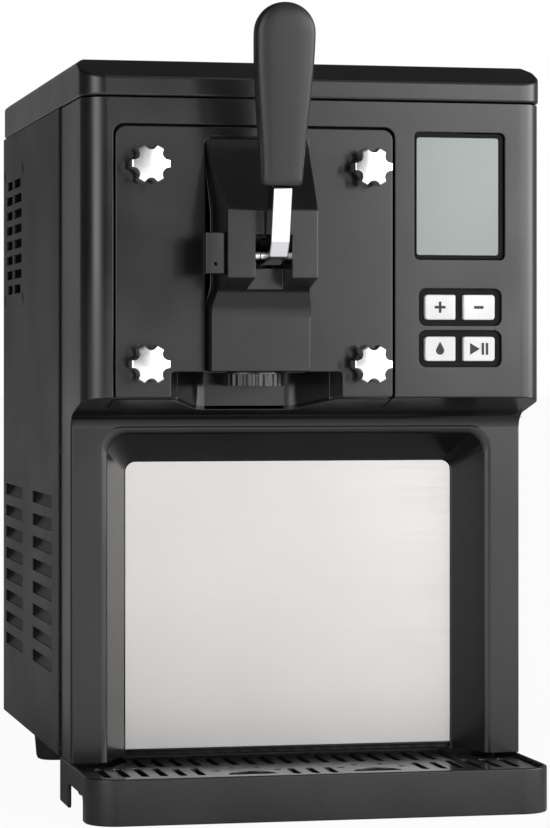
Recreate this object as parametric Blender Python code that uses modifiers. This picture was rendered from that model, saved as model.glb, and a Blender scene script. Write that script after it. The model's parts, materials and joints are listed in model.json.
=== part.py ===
"""Countertop soft-serve ice cream maker, modelled as an assembly of its separate pieces.

Metres, +Z up. The machine stands on Z = 0 and is centred on X. Its front looks along -Y, and FRONT is the plane
of the upper front face: back(d) gives the Y of a point that lies d behind that face.
"""

import math

import bmesh
import bpy
from mathutils import Matrix, Vector

# Driving dimensions of the casing.
FRONT = -0.1343
HALF_WIDTH = 0.1335
PANEL_HALF_WIDTH = 0.13475
DEPTH = 0.343
SIDE_SEAM = 0.088
BODY_BOTTOM = 0.0266
BODY_TOP = 0.4049
LID_TOP = 0.4284
CHIN_FRONT_Z = 0.2363
CHIN_BACK_Z = 0.2257
LOWER_FRONT = 0.047
WALL = 0.003
SHEET = 0.0012
CORNER = 0.014
GAP = 0.0003

# Recess for the cup, with its steel panel.
RECESS_HALF = 0.1132
RECESS_TOP = 0.2165
SPLASH_HALF = 0.098
SPLASH_TOP = 0.1988
SPLASH_BOTTOM = 0.030
SPLASH_DEPTH = 0.0715

# Cylinder door and everything on the dispensing axis.
SPOUT_X = -0.0347
DOOR_LEFT = -0.11525
DOOR_RIGHT = 0.0445
DOOR_BOTTOM = 0.2366
DOOR_TOP = 0.3889
DOOR_THICK = 0.008
DOOR_SEAM = 0.0012
NOTCH_TOP = 0.251
VALVE_DEPTH = 0.0115
VALVE_RADIUS = 0.0129
BORE_RADIUS = 0.01335
PIN_DEPTH = -0.030
PIN_Z = 0.316
PIN_RADIUS = 0.003
SLOT_X = -0.03425
SLOT_HALF = 0.01025
LEVER_HALF = 0.00525
KNOB_OFFSET_X = 0.0635
KNOB_Z = (0.3665, 0.2553)
STUD_RADIUS = 0.003

# Freezing cylinder and its drive, on one axis along Y.
CYL_Z = 0.302
CYL_INNER = 0.038
CYL_OUTER = 0.040
CYL_FRONT = 0.031
CYL_BACK = 0.175
COIL_RADIUS = 0.0447
COIL_TUBE = 0.0025
COIL_TURNS = 5

# Drip tray.
TRAY_FRONT = -0.0228
TRAY_BACK = 0.093
TRAY_TOP = 0.0262
TRAY_WALL = 0.0022
TRAY_FLOOR = 0.0172
FOOT_X = 0.108
FOOT_DEPTHS = (0.110, 0.290)

for old in list(bpy.data.objects):
    bpy.data.objects.remove(old, do_unlink=True)

PARTS = bpy.data.collections.new("ice_cream_maker")
CUTTERS = bpy.data.collections.new("cutters")
bpy.context.scene.collection.children.link(PARTS)
bpy.context.scene.collection.children.link(CUTTERS)

# Colour, roughness and metallic value of each material.
FINISHES = {
    "black_plastic": ((0.022, 0.022, 0.023), 0.42, 0.0),
    "black_sheet": ((0.024, 0.024, 0.025), 0.5, 0.0),
    "black_rubber": ((0.012, 0.012, 0.012), 0.8, 0.0),
    "chrome": ((0.8, 0.8, 0.8), 0.12, 1.0),
    "steel": ((0.62, 0.60, 0.58), 0.32, 1.0),
    "bare_sheet": ((0.45, 0.45, 0.45), 0.45, 1.0),
    "copper": ((0.72, 0.36, 0.2), 0.35, 1.0),
    "display": ((0.42, 0.46, 0.45), 0.15, 0.0),
    "button_silver": ((0.75, 0.75, 0.75), 0.3, 0.0),
    "white_plastic": ((0.8, 0.8, 0.78), 0.4, 0.0),
    "foam": ((0.75, 0.7, 0.55), 0.9, 0.0),
    "board_green": ((0.02, 0.14, 0.05), 0.5, 0.0),
    "grey_plastic": ((0.12, 0.12, 0.125), 0.45, 0.0),
}


def back(depth):
    """Y of a point this far behind the upper front face."""
    return FRONT + depth


def finish(obj, kind):
    """Gives the object its own material of this kind."""
    colour, roughness, metallic = FINISHES[kind]
    material = bpy.data.materials.new(obj.name)
    material.use_nodes = True
    shader = material.node_tree.nodes["Principled BSDF"]
    shader.inputs["Base Color"].default_value = (*colour, 1.0)
    shader.inputs["Roughness"].default_value = roughness
    shader.inputs["Metallic"].default_value = metallic
    obj.data.materials.clear()
    obj.data.materials.append(material)


def adopt(name, mesh, kind=None):
    """An object of this mesh: a part when it has a kind of finish, and otherwise a cutter."""
    obj = bpy.data.objects.new(name, mesh)
    if kind:
        PARTS.objects.link(obj)
        finish(obj, kind)
    else:
        CUTTERS.objects.link(obj)
        obj.hide_render = True
        obj.display_type = "WIRE"
    return obj


def smooth(obj, angle=35):
    obj.data.shade_smooth()
    obj.data.set_sharp_from_angle(angle=math.radians(angle))


def bevel(obj, width, segments=2, limit=40):
    modifier = obj.modifiers.new("Bevel", "BEVEL")
    modifier.width = width
    modifier.segments = segments
    modifier.limit_method = "ANGLE"
    modifier.angle_limit = math.radians(limit)


def combine(obj, other, operation="DIFFERENCE"):
    """Adds a Boolean of this object with another, which becomes a hidden helper."""
    modifier = obj.modifiers.new(operation.title(), "BOOLEAN")
    modifier.operation = operation
    modifier.object = other
    if other.name in PARTS.objects:
        PARTS.objects.unlink(other)
        CUTTERS.objects.link(other)
    other.hide_render = True
    other.display_type = "WIRE"


def cut(obj, *others):
    for other in others:
        combine(obj, other)


def join(obj, *others):
    for other in others:
        combine(obj, other, "UNION")


def box(name, low, high, kind=None):
    """An upright block between two corners."""
    low, high = Vector(low), Vector(high)
    shape = bmesh.new()
    size = Matrix.Diagonal((*(high - low), 1.0))
    bmesh.ops.create_cube(shape, size=1.0, matrix=Matrix.Translation((low + high) / 2) @ size)
    mesh = bpy.data.meshes.new(name)
    shape.to_mesh(mesh)
    shape.free()
    return adopt(name, mesh, kind)


def boxes(name, corners):
    """One cutter made of many separate blocks."""
    shape = bmesh.new()
    for low, high in corners:
        low, high = Vector(low), Vector(high)
        size = Matrix.Diagonal((*(high - low), 1.0))
        bmesh.ops.create_cube(shape, size=1.0, matrix=Matrix.Translation((low + high) / 2) @ size)
    mesh = bpy.data.meshes.new(name)
    shape.to_mesh(mesh)
    shape.free()
    return adopt(name, mesh)


TURNS = {
    "X": Matrix.Rotation(math.pi / 2, 4, "Y"),
    "Y": Matrix.Rotation(-math.pi / 2, 4, "X"),
    "Z": Matrix.Identity(4),
}


def cylinder(name, centre, axis, length, radius, kind=None, end_radius=None, sides=32):
    """A cylinder or cone whose middle is at centre. Its axis points along +X, +Y or +Z."""
    shape = bmesh.new()
    bmesh.ops.create_cone(
        shape,
        cap_ends=True,
        segments=sides,
        radius1=radius,
        radius2=radius if end_radius is None else end_radius,
        depth=length,
        matrix=Matrix.Translation(centre) @ TURNS[axis],
    )
    mesh = bpy.data.meshes.new(name)
    shape.to_mesh(mesh)
    shape.free()
    obj = adopt(name, mesh, kind)
    if kind:
        smooth(obj)
    return obj


def rounded(corners, steps=5):
    """The points of an outline, with an arc at each corner (x, y, radius) whose radius isn't 0."""
    points = []
    for i, (x, y, radius) in enumerate(corners):
        here = Vector((x, y))
        before = Vector(corners[i - 1][:2]) - here
        after = Vector(corners[(i + 1) % len(corners)][:2]) - here
        if radius == 0:
            points.append(here)
            continue
        before.normalize()
        after.normalize()
        half = before.angle(after) / 2
        reach = radius / math.tan(half)
        centre = here + (before + after).normalized() * radius / math.sin(half)
        start = here + before * reach - centre
        end = here + after * reach - centre
        sweep = start.angle_signed(end)
        for k in range(steps + 1):
            turn = Matrix.Rotation(-sweep * k / steps, 2)
            points.append(centre + turn @ start)
    return points


PLANES = {
    "XY": Matrix.Identity(4),
    "XZ": Matrix.Rotation(math.pi / 2, 4, "X"),
    "YZ": Matrix(((0, 0, 1, 0), (1, 0, 0, 0), (0, 1, 0, 0), (0, 0, 0, 1))),
}


def prism(name, points, plane, start, end, kind=None):
    """A flat outline in a plane, extruded from start to end along the third axis."""
    curve = bpy.data.curves.new(name, "CURVE")
    curve.dimensions = "2D"
    curve.fill_mode = "BOTH"
    curve.extrude = abs(end - start) / 2
    spline = curve.splines.new("POLY")
    spline.points.add(len(points) - 1)
    spline.use_cyclic_u = True
    for target, point in zip(spline.points, points):
        target.co = (point[0], point[1], 0.0, 1.0)
    flat = bpy.data.objects.new(name + "_outline", curve)
    CUTTERS.objects.link(flat)
    middle = (start + end) / 2
    shift = {"XY": (0, 0, middle), "XZ": (0, middle, 0), "YZ": (middle, 0, 0)}[plane]
    flat.matrix_world = Matrix.Translation(shift) @ PLANES[plane]
    return from_curve(name, flat, kind, True)


def from_curve(name, guide, kind, flat=False):
    """The closed mesh of a curve object, which it replaces. A flat outline gets caps of one face each."""
    bpy.context.view_layer.update()
    graph = bpy.context.evaluated_depsgraph_get()
    mesh = bpy.data.meshes.new_from_object(guide.evaluated_get(graph))
    mesh.transform(guide.matrix_world)
    bpy.data.objects.remove(guide, do_unlink=True)
    shape = bmesh.new()
    shape.from_mesh(mesh)
    bmesh.ops.remove_doubles(shape, verts=shape.verts, dist=0.00001)
    if flat:
        bmesh.ops.dissolve_limit(shape, angle_limit=0.01, verts=shape.verts, edges=shape.edges)
    bmesh.ops.recalc_face_normals(shape, faces=shape.faces)
    shape.to_mesh(mesh)
    shape.free()
    mesh.name = name
    return adopt(name, mesh, kind)


def pipe(name, points, radius, kind):
    """A round tube through the points."""
    curve = bpy.data.curves.new(name, "CURVE")
    curve.dimensions = "3D"
    curve.bevel_depth = radius
    curve.bevel_resolution = 2
    curve.use_fill_caps = True
    spline = curve.splines.new("POLY")
    spline.points.add(len(points) - 1)
    for target, point in zip(spline.points, points):
        target.co = (*point, 1.0)
    guide = bpy.data.objects.new(name + "_path", curve)
    CUTTERS.objects.link(guide)
    obj = from_curve(name, guide, kind)
    smooth(obj)
    return obj


def apply_modifiers(obj):
    """Replaces an object's modifiers by the closed mesh that they make, facing out."""
    bpy.context.view_layer.update()
    graph = bpy.context.evaluated_depsgraph_get()
    mesh = bpy.data.meshes.new_from_object(obj.evaluated_get(graph))
    obj.modifiers.clear()
    obj.data = mesh
    shape = bmesh.new()
    shape.from_mesh(mesh)
    bmesh.ops.remove_doubles(shape, verts=shape.verts, dist=0.00001)
    loose = [edge for edge in shape.edges if edge.is_boundary]
    bmesh.ops.holes_fill(shape, edges=loose)
    bmesh.ops.recalc_face_normals(shape, faces=shape.faces)
    shape.to_mesh(mesh)
    shape.free()


def turned(name, profile, centre, axis, kind=None, steps=32):
    """A profile of (radius, height) turned about an axis.

    It runs down its outer side. It closes up its inner side, unless it starts and ends on the axis.
    """
    shape = bmesh.new()
    corners = [shape.verts.new((radius, 0.0, height)) for radius, height in profile]
    solid = profile[0][0] == profile[-1][0] == 0.0
    ends = corners[1:] if solid else corners[1:] + corners[:1]
    for start, end in zip(corners, ends):
        shape.edges.new((start, end))
    mesh = bpy.data.meshes.new(name)
    shape.to_mesh(mesh)
    shape.free()
    obj = adopt(name, mesh, kind)
    obj.matrix_world = Matrix.Translation(centre) @ TURNS[axis]
    screw = obj.modifiers.new("Screw", "SCREW")
    screw.steps = steps
    screw.render_steps = steps
    screw.use_merge_vertices = True
    screw.merge_threshold = 0.00001
    apply_modifiers(obj)
    smooth(obj)
    return obj


def pivot(obj, point):
    """Puts the origin of an object on its joint's axis and leaves its shape in place."""
    shift = Matrix.Translation(-Vector(point))
    obj.data.transform(shift @ obj.matrix_world)
    obj.matrix_world = Matrix.Translation(point)


def turned_ring(name, centre, axis, inner, outer, length, kind=None, steps=32):
    half = length / 2
    profile = [(outer, half), (outer, -half), (inner, -half), (inner, half)]
    return turned(name, profile, centre, axis, kind, steps)


def plan(half_width, front, rear, radius, steps=6):
    """Plan outline of the casing with its two front corners rounded."""
    corners = [(-half_width, back(rear), 0), (-half_width, back(front), radius)]
    corners += [(half_width, back(front), radius), (half_width, back(rear), 0)]
    return rounded(corners, steps)


def chin_line(offset):
    """Everything below the sloping chin, moved in by a wall thickness."""
    slope = (CHIN_BACK_Z - CHIN_FRONT_Z) / LOWER_FRONT
    ahead, behind = -0.02, 0.15
    turn = LOWER_FRONT + offset
    return [
        (back(ahead), 0.1),
        (back(ahead), CHIN_FRONT_Z + offset + slope * ahead),
        (back(turn), CHIN_FRONT_Z + offset + slope * turn),
        (back(behind), CHIN_FRONT_Z + offset + slope * turn),
        (back(behind), 0.1),
    ]


def door_outline(grow):
    left, right = DOOR_LEFT - grow, DOOR_RIGHT + grow
    low, high = DOOR_BOTTOM - grow, DOOR_TOP + grow
    return rounded([(left, low, 0.002), (right, low, 0.002), (right, high, 0.006), (left, high, 0.006)])


def notch_cutter(name):
    """The opening under the spout: wide at the front, narrower at the back, with a flat ceiling."""
    corners = [(-0.0834, back(-0.01), 0), (0.0149, back(-0.01), 0), (0.0149, back(0.001), 0.003)]
    corners += [(-0.0078, back(0.0315), 0.008), (-0.0635, back(0.0315), 0.008), (-0.0834, back(0.001), 0.003)]
    return prism(name, rounded(corners, 4), "XY", 0.2, NOTCH_TOP)


# The casing.


def casing_solid(name, inset):
    """The casing's outer form, moved in all round by inset and left long at the back, top and bottom."""
    reach = 0.02 if inset else 0.0
    plan_rear = SIDE_SEAM + reach
    upper = prism(
        name,
        plan(HALF_WIDTH - inset, inset, plan_rear, CORNER - inset),
        "XY",
        0.18,
        BODY_TOP + reach,
    )
    cut(upper, prism(name + "_chin", chin_line(inset), "YZ", -0.2, 0.2))
    lower_plan = plan(HALF_WIDTH - inset, LOWER_FRONT + inset, plan_rear, 0.003 if not inset else 0.001, 3)
    lower_top = CHIN_BACK_Z + 0.004
    join(upper, prism(name + "_lower", lower_plan, "XY", BODY_BOTTOM - reach, lower_top))
    return upper


def front_frame():
    """One moulding: upper front with the door and display openings, chin, and the recess for a cup."""
    outer = casing_solid("front_frame", 0.0)
    CUTTERS.objects.unlink(outer)
    PARTS.objects.link(outer)
    outer.hide_render = False
    outer.display_type = "TEXTURED"
    finish(outer, "black_plastic")
    cut(outer, casing_solid("casing_inside", WALL))
    liner = box(
        "recess_liner",
        (-0.120, back(LOWER_FRONT + 0.001), BODY_BOTTOM + 0.0005),
        (0.120, back(SPLASH_DEPTH + 0.0045), 0.2215),
    )
    bay_low, bay_high = (-0.087, back(0.0085), 0.2275), (0.0185, back(0.0345), NOTCH_TOP - GAP)
    spout_bay = box("spout_bay_liner", bay_low, bay_high)
    cut(spout_bay, prism("spout_bay_chin", chin_line(0.0), "YZ", -0.2, 0.2))
    join(outer, liner, spout_bay)
    cut(outer, recess_cutter(), notch_cutter("frame_notch"))
    pocket = box(
        "splash_pocket",
        (-SPLASH_HALF - 0.0005, back(SPLASH_DEPTH - 0.001), 0.02),
        (SPLASH_HALF + 0.0005, back(SPLASH_DEPTH + 0.0015), SPLASH_TOP + 0.0005),
    )
    cut(outer, pocket)
    cut(outer, prism("door_opening", door_outline(DOOR_SEAM), "XZ", back(-0.01), back(0.0083)))
    cut(outer, display_opening(), button_opening("upper", 0.2775, 0.2986), button_opening("lower", 0.2539, 0.2747))
    return outer


def recess_cutter():
    """The funnel of the cup recess: it narrows from the front opening to the steel panel."""
    shape = bmesh.new()
    ahead = 0.0005
    run = SPLASH_DEPTH - LOWER_FRONT
    rings = []
    for depth in (LOWER_FRONT - ahead, SPLASH_DEPTH):
        share = (depth - LOWER_FRONT) / run
        half = RECESS_HALF + share * (SPLASH_HALF - RECESS_HALF)
        top = RECESS_TOP + share * (SPLASH_TOP - RECESS_TOP)
        radius = 0.010 - 0.004 * share
        outline = rounded([(-half, 0.01, 0), (half, 0.01, 0), (half, top, radius), (-half, top, radius)], 4)
        rings.append([shape.verts.new((p.x, back(depth), p.y)) for p in outline])
    front, rear = rings
    shape.faces.new(front)
    shape.faces.new(list(reversed(rear)))
    for i in range(len(front)):
        shape.faces.new((front[i - 1], rear[i - 1], rear[i], front[i]))
    bmesh.ops.recalc_face_normals(shape, faces=shape.faces)
    mesh = bpy.data.meshes.new("recess")
    shape.to_mesh(mesh)
    shape.free()
    return adopt("recess", mesh)


def display_opening():
    outline = rounded([(0.0572, 0.3152, 0.003), (0.1107, 0.3152, 0.003), (0.1107, 0.3879, 0.003), (0.0572, 0.3879, 0.003)])
    return prism("display_opening", outline, "XZ", back(-0.01), back(0.0045))


def button_opening(name, low, high):
    """A slot with fully rounded left and right corners for two buttons."""
    outline = rounded([(0.0598, low, 0.006), (0.1086, low, 0.006), (0.1086, high, 0.006), (0.0598, high, 0.006)])
    return prism("button_opening_" + name, outline, "XZ", back(-0.01), back(0.0045))


UPPER_VENT_COLUMNS = ((0.253, 0.289), (0.297, 0.326))
LOWER_VENT_COLUMNS = ((0.116, 0.200), (0.247, 0.330))


def side_panel(name, side):
    """A bent sheet with two columns of cooling slots high at the back and two of louvres low down."""
    inner, outer = side * (PANEL_HALF_WIDTH - SHEET), side * PANEL_HALF_WIDTH
    low_x, high_x = sorted((inner, outer))
    panel = box(name, (low_x, back(SIDE_SEAM + 0.0005), BODY_BOTTOM), (high_x, back(DEPTH), BODY_TOP), "black_sheet")
    slots = []
    for first, last in UPPER_VENT_COLUMNS:
        for row in range(8):
            z = 0.3727 - 0.0097 * row
            slots.append(((low_x - 0.01, back(first), z - 0.0028), (high_x + 0.01, back(last), z + 0.0028)))
    for first, last in LOWER_VENT_COLUMNS:
        for row in range(8):
            z = 0.1740 - 0.0140 * row
            slots.append(((low_x - 0.01, back(first), z - 0.0025), (high_x + 0.01, back(last), z + 0.0025)))
    cut(panel, boxes(name + "_slots", slots))
    return panel


def rear_panel():
    """A flat sheet that closes the back, with the power inlet's and switch's cut-outs and a block of vents."""
    inside = PANEL_HALF_WIDTH - SHEET - GAP
    panel = box("rear_panel", (-inside, back(DEPTH - SHEET), BODY_BOTTOM), (inside, back(DEPTH), BODY_TOP), "black_sheet")
    openings = [((-0.1012, back(0.33), 0.0488), (-0.0728, back(0.35), 0.0692))]
    openings.append(((-0.0572, back(0.33), 0.0484), (-0.0418, back(0.35), 0.0696)))
    for row in range(10):
        z = 0.110 + 0.012 * row
        for first in (-0.062, 0.006):
            openings.append(((first, back(0.33), z - 0.0025), (first + 0.056, back(0.35), z + 0.0025)))
    cut(panel, boxes("rear_openings", openings))
    return panel


def base_plate():
    low = BODY_BOTTOM
    return box("base_plate", (-0.1298, back(0.0765), low), (0.1298, back(0.3415), low + 0.002), "bare_sheet")


def splash_panel():
    low = (-SPLASH_HALF, back(SPLASH_DEPTH + GAP), SPLASH_BOTTOM)
    high = (SPLASH_HALF, back(SPLASH_DEPTH + 0.0012), SPLASH_TOP)
    return box("splash_panel", low, high, "steel")


def lid():
    """Top cover with a steep front face, a long shallow bevel behind it and narrow side bevels; hollow below."""
    seam, half, rear = BODY_TOP + 0.0006, 0.1342, DEPTH - 0.0003
    cover = prism("lid", plan(half, 0.0, rear, CORNER), "XY", seam, LID_TOP, "black_plastic")
    slope = (0.0117 / 0.030)
    front_wedge = [(back(-0.02), 0.4167 - 0.02 * slope), (back(0.05), 0.4167 + 0.05 * slope)]
    front_wedge += [(back(0.05), 0.46), (back(-0.02), 0.46)]
    cut(cover, prism("lid_front_bevel", front_wedge, "YZ", -0.2, 0.2))
    for side in (-1, 1):
        wedge = [(side * (half + 0.003), 0.4226), (side * (half - 0.0097), 0.4325), (side * (half + 0.003), 0.4325)]
        cut(cover, prism(f"lid_side_bevel_{side}", wedge, "XZ", back(-0.02), back(0.36)))
    inside = prism("lid_inside", plan(half - WALL, WALL, rear - WALL, CORNER - WALL), "XY", 0.39, LID_TOP - WALL)
    inner_wedge = [(back(-0.02), 0.4137 - 0.02 * slope), (back(0.05), 0.4137 + 0.05 * slope)]
    inner_wedge += [(back(0.05), 0.46), (back(-0.02), 0.46)]
    cut(inside, prism("lid_inner_bevel", inner_wedge, "YZ", -0.2, 0.2))
    cut(cover, inside)
    pivot(cover, (0, back(DEPTH / 2), seam))
    return cover


HOPPER = {"half": 0.110, "front": 0.030, "rear": 0.215, "low": 0.3605, "wall": 0.0015, "x": 0.0}


def hopper_outline(grow):
    front, rear, half = HOPPER["front"] - grow, HOPPER["rear"] + grow, HOPPER["half"] + grow
    radius = 0.016 + grow
    corners = [(-half, back(front)), (half, back(front)), (half, back(rear)), (-half, back(rear))]
    return rounded([(x, y, radius) for x, y in corners], 5)


def top_deck():
    """Inner top that carries the hopper."""
    low, high = BODY_TOP - 0.0049, BODY_TOP - 0.0004
    deck = prism("top_deck", plan(0.1300, 0.0034, 0.3410, CORNER - WALL), "XY", low, high, "grey_plastic")
    cut(deck, prism("deck_opening", hopper_outline(0.0005), "XY", 0.38, 0.42))
    return deck


def hopper():
    """Steel tub for the mix, hung by its flange, with a drain hole above the cylinder."""
    tub = prism("hopper", hopper_outline(0.0), "XY", HOPPER["low"], BODY_TOP, "steel")
    join(tub, prism("hopper_flange", hopper_outline(0.008), "XY", BODY_TOP - 0.0001, BODY_TOP + 0.0012))
    cut(tub, prism("hopper_inside", hopper_outline(-HOPPER["wall"]), "XY", HOPPER["low"] + HOPPER["wall"], 0.42))
    cut(tub, cylinder("hopper_drain", (SPOUT_X, back(0.060), 0.365), "Z", 0.02, 0.0066, sides=20))
    return tub


def feed_tube():
    """Removable tube from the hopper into the cylinder."""
    profile = [(0.0085, 0.395), (0.0085, 0.390), (0.006, 0.388), (0.006, 0.3425), (0.0042, 0.3425), (0.0042, 0.395)]
    return turned("feed_tube", profile, (SPOUT_X, back(0.060), 0.0), "Z", "white_plastic", 20)


# Control panel.


def display_housing():
    outline = rounded([(0.0577, 0.3157, 0.0027), (0.1102, 0.3157, 0.0027), (0.1102, 0.3874, 0.0027), (0.0577, 0.3874, 0.0027)])
    housing = prism("display_housing", outline, "XZ", back(0.0006), back(0.0105), "grey_plastic")
    cut(housing, box("lens_pocket", (0.0584, back(-0.005), 0.3174), (0.1074, back(0.0028), 0.3853)))
    return housing


def display_lens():
    lens = box("display_lens", (0.0587, back(0.0010), 0.3177), (0.1071, back(0.0025), 0.3850), "display")
    bevel(lens, 0.0004, 1)
    return lens


BUTTONS = {
    "button_plus": (0.0627, 0.0815, 0.2808, 0.2951, -1),
    "button_minus": (0.0850, 0.1050, 0.2808, 0.2951, 1),
    "button_clean": (0.0627, 0.0815, 0.2572, 0.2712, -1),
    "button_start": (0.0850, 0.1050, 0.2572, 0.2712, 1),
}


def button(name):
    """A key with two rounded outer corners that stands a little proud of the front."""
    left, right, low, high, outer = BUTTONS[name]
    radii = (0.004, 0.0012) if outer < 0 else (0.0012, 0.004)
    corners = [(left, low, radii[0]), (right, low, radii[1]), (right, high, radii[1]), (left, high, radii[0])]
    key = prism(name, rounded(corners, 4), "XZ", back(-0.0008), back(0.006), "button_silver")
    bevel(key, 0.0006, 1, 60)
    pivot(key, ((left + right) / 2, back(0.006), (low + high) / 2))
    return key


def control_board():
    return box("control_board", (0.0580, back(0.0120), 0.2480), (0.1100, back(0.0136), 0.3860), "board_green")


# Cylinder door with its spout.


def front_bulkhead():
    """Plate behind the door that carries the studs and the cylinder."""
    plate = box("front_bulkhead", (-0.1240, back(0.0088), 0.2400), (0.0540, back(0.0118), 0.3945), "bare_sheet")
    cut(plate, cylinder("bulkhead_hole", (SPOUT_X, back(0.010), CYL_Z), "Y", 0.02, 0.044))
    low, high = (SPOUT_X - 0.0205, back(0.0), 0.245), (SPOUT_X + 0.0205, back(0.02), 0.364)
    cut(plate, box("bulkhead_boss_cut", low, high))
    cut(plate, box("bulkhead_notch_cut", (-0.0885, back(0.0), 0.23), (0.0200, back(0.02), NOTCH_TOP + 0.0016)))
    return plate


SPOUT_TOP_Z = 0.3835
BRACKET_TOP_Z = 0.3403
BRACKET_LOW_Z = 0.3027
BRACKET_DEPTH = -0.045
BLOCK_DEPTH = -0.013
BLOCK_TOP_Z = 0.285
BLOCK_LOW_Z = 0.2513


def spout_side():
    """The spout seen from the side: a wedge down to the bracket, then back to the block over the nozzle."""
    corners = [
        (0.004, BLOCK_LOW_Z, 0),
        (BLOCK_DEPTH, BLOCK_LOW_Z, 0),
        (BLOCK_DEPTH, BLOCK_TOP_Z, 0.012),
        (-0.026, 0.2965, 0.010),
        (BRACKET_DEPTH, BRACKET_LOW_Z, 0.0008),
        (BRACKET_DEPTH, BRACKET_TOP_Z, 0.0008),
        (0.0015, SPOUT_TOP_Z, 0),
        (0.004, SPOUT_TOP_Z, 0),
    ]
    return rounded([(back(d), z, r) for d, z, r in corners], 4)


def spout_front():
    """The spout seen from the front: it narrows to the bracket and flares again to the lower block."""
    half = [(0.0283, BLOCK_LOW_Z, 0), (0.0283, 0.2880, 0.012), (0.0254, 0.2995, 0.010)]
    half += [(0.0254, BRACKET_TOP_Z, 0), (0.0303, SPOUT_TOP_Z, 0)]
    right = [(SPOUT_X + x, z, r) for x, z, r in half]
    left = [(SPOUT_X - x, z, r) for x, z, r in reversed(half)]
    return rounded(right + left, 4)


def lever_cavity():
    """The room for the lever: open to the front and below between the cheeks, and roofed behind them."""
    points = [(-0.050, 0.285), (-0.0215, 0.285), (-0.0215, 0.309), (0.002, 0.309), (0.002, 0.3535)]
    points += [(-0.012, 0.3535), (-0.036, 0.3385), (-0.036, 0.3266), (-0.050, 0.3266)]
    outline = [(back(d), z) for d, z in points]
    return prism("lever_cavity", outline, "YZ", SLOT_X - SLOT_HALF, SLOT_X + SLOT_HALF)


def cylinder_door():
    """Front plate, spout and rear boss in one moulding, bored upright for the valve."""
    door = prism("cylinder_door", door_outline(0.0), "XZ", back(0.0), back(DOOR_THICK), "black_plastic")
    pocket = rounded(
        [
            (-0.0642, 0.24, 0),
            (-0.0037, 0.24, 0),
            (-0.0037, SPOUT_TOP_Z, 0.004),
            (-0.0642, SPOUT_TOP_Z, 0.004),
        ]
    )
    cut(door, prism("spout_pocket", pocket, "XZ", back(-0.01), back(0.0015)))
    spout = prism("spout", spout_side(), "YZ", SPOUT_X - 0.0303, SPOUT_X + 0.0303)
    combine(spout, prism("spout_face", spout_front(), "XZ", back(-0.07), back(0.02)), "INTERSECT")
    disc = cylinder("door_disc", (SPOUT_X, back(0.018), CYL_Z), "Y", 0.022, 0.042, sides=32)
    boss = box("door_boss", (SPOUT_X - 0.019, back(0.001), BLOCK_LOW_Z), (SPOUT_X + 0.019, back(0.029), 0.362))
    join(door, spout, disc, boss)
    bore_low, bore_high = 0.24, 0.359
    bore_mid = (SPOUT_X, back(VALVE_DEPTH), (bore_low + bore_high) / 2)
    cut(door, cylinder("valve_bore", bore_mid, "Z", bore_high - bore_low, BORE_RADIUS, sides=32))
    cut(door, lever_cavity())
    passage_low, passage_high = (SPOUT_X - 0.006, back(0.020), 0.268), (SPOUT_X + 0.006, back(0.035), 0.284)
    cut(door, box("product_passage", passage_low, passage_high))
    pin_hole = cylinder("pin_hole", (SPOUT_X - 0.001, back(PIN_DEPTH), PIN_Z), "X", 0.0565, PIN_RADIUS + GAP, sides=20)
    cut(door, pin_hole)
    for i, (x, z) in enumerate(knob_places()):
        cut(door, cylinder(f"stud_hole_{i}", (x, back(0.003), z), "Y", 0.03, STUD_RADIUS + 0.0005, sides=20))
    cut(door, notch_cutter("door_notch"))
    pivot(door, (SPOUT_X, back(0.0), CYL_Z))
    return door


def knob_places():
    return [(SPOUT_X + side * KNOB_OFFSET_X, z) for z in KNOB_Z for side in (-1, 1)]


def door_gasket():
    """Square-section seal between the door's boss and the cylinder's flange."""
    return turned_ring("door_gasket", (SPOUT_X, back(0.0299), CYL_Z), "Y", 0.0385, 0.0415, 0.0012, "black_rubber")


def door_stud(index, x, z):
    length = 0.023
    middle = (x, back(0.0085 - length / 2), z)
    return cylinder(f"door_stud_{index}", middle, "Y", length, STUD_RADIUS, "steel", sides=16)


def knob_outline(x, z, steps=5):
    """Six lobes with flat ends, parted by round scallops."""
    reach, radius, half_arc = 0.01233, 0.00393, 67.2
    points = []
    for lobe in range(6):
        middle = math.radians(30 - 60 * lobe)
        for k in range(steps + 1):
            turn = math.radians(180 - half_arc + 2 * half_arc * k / steps)
            along, across = reach + radius * math.cos(turn), radius * math.sin(turn)
            outward = along * math.cos(middle) - across * math.sin(middle)
            upward = along * math.sin(middle) + across * math.cos(middle)
            points.append((x + outward, z + upward))
    return points


def star_knob(index, x, z):
    """Six-lobed knob with a round stem, screwed on a stud."""
    knob = prism(f"star_knob_{index}", knob_outline(x, z), "XZ", back(-0.0195), back(-0.0065), "chrome")
    bevel(knob, 0.0008, 1, 60)
    join(knob, cylinder(f"knob_stem_{index}", (x, back(-0.00365), z), "Y", 0.0067, 0.0065, sides=24))
    hole = cylinder(f"knob_hole_{index}", (x, back(-0.005), z), "Y", 0.022, STUD_RADIUS + GAP, sides=16)
    cut(knob, hole)
    smooth(knob)
    pivot(knob, (x, back(0.0), z))
    return knob


# Dispensing lever, valve and nozzle.


def pivot_pin():
    """Plain pin through both cheeks with a square block as its head on the left."""
    pin = cylinder("pivot_pin", (-0.0380, back(PIN_DEPTH), PIN_Z), "X", 0.0496, PIN_RADIUS, "chrome", sides=20)
    head = box("pin_head", (-0.0705, back(PIN_DEPTH - 0.0095), 0.3050), (-0.0606, back(PIN_DEPTH + 0.0085), 0.3280))
    bevel(head, 0.001, 2)
    join(pin, head)
    return pin


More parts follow.
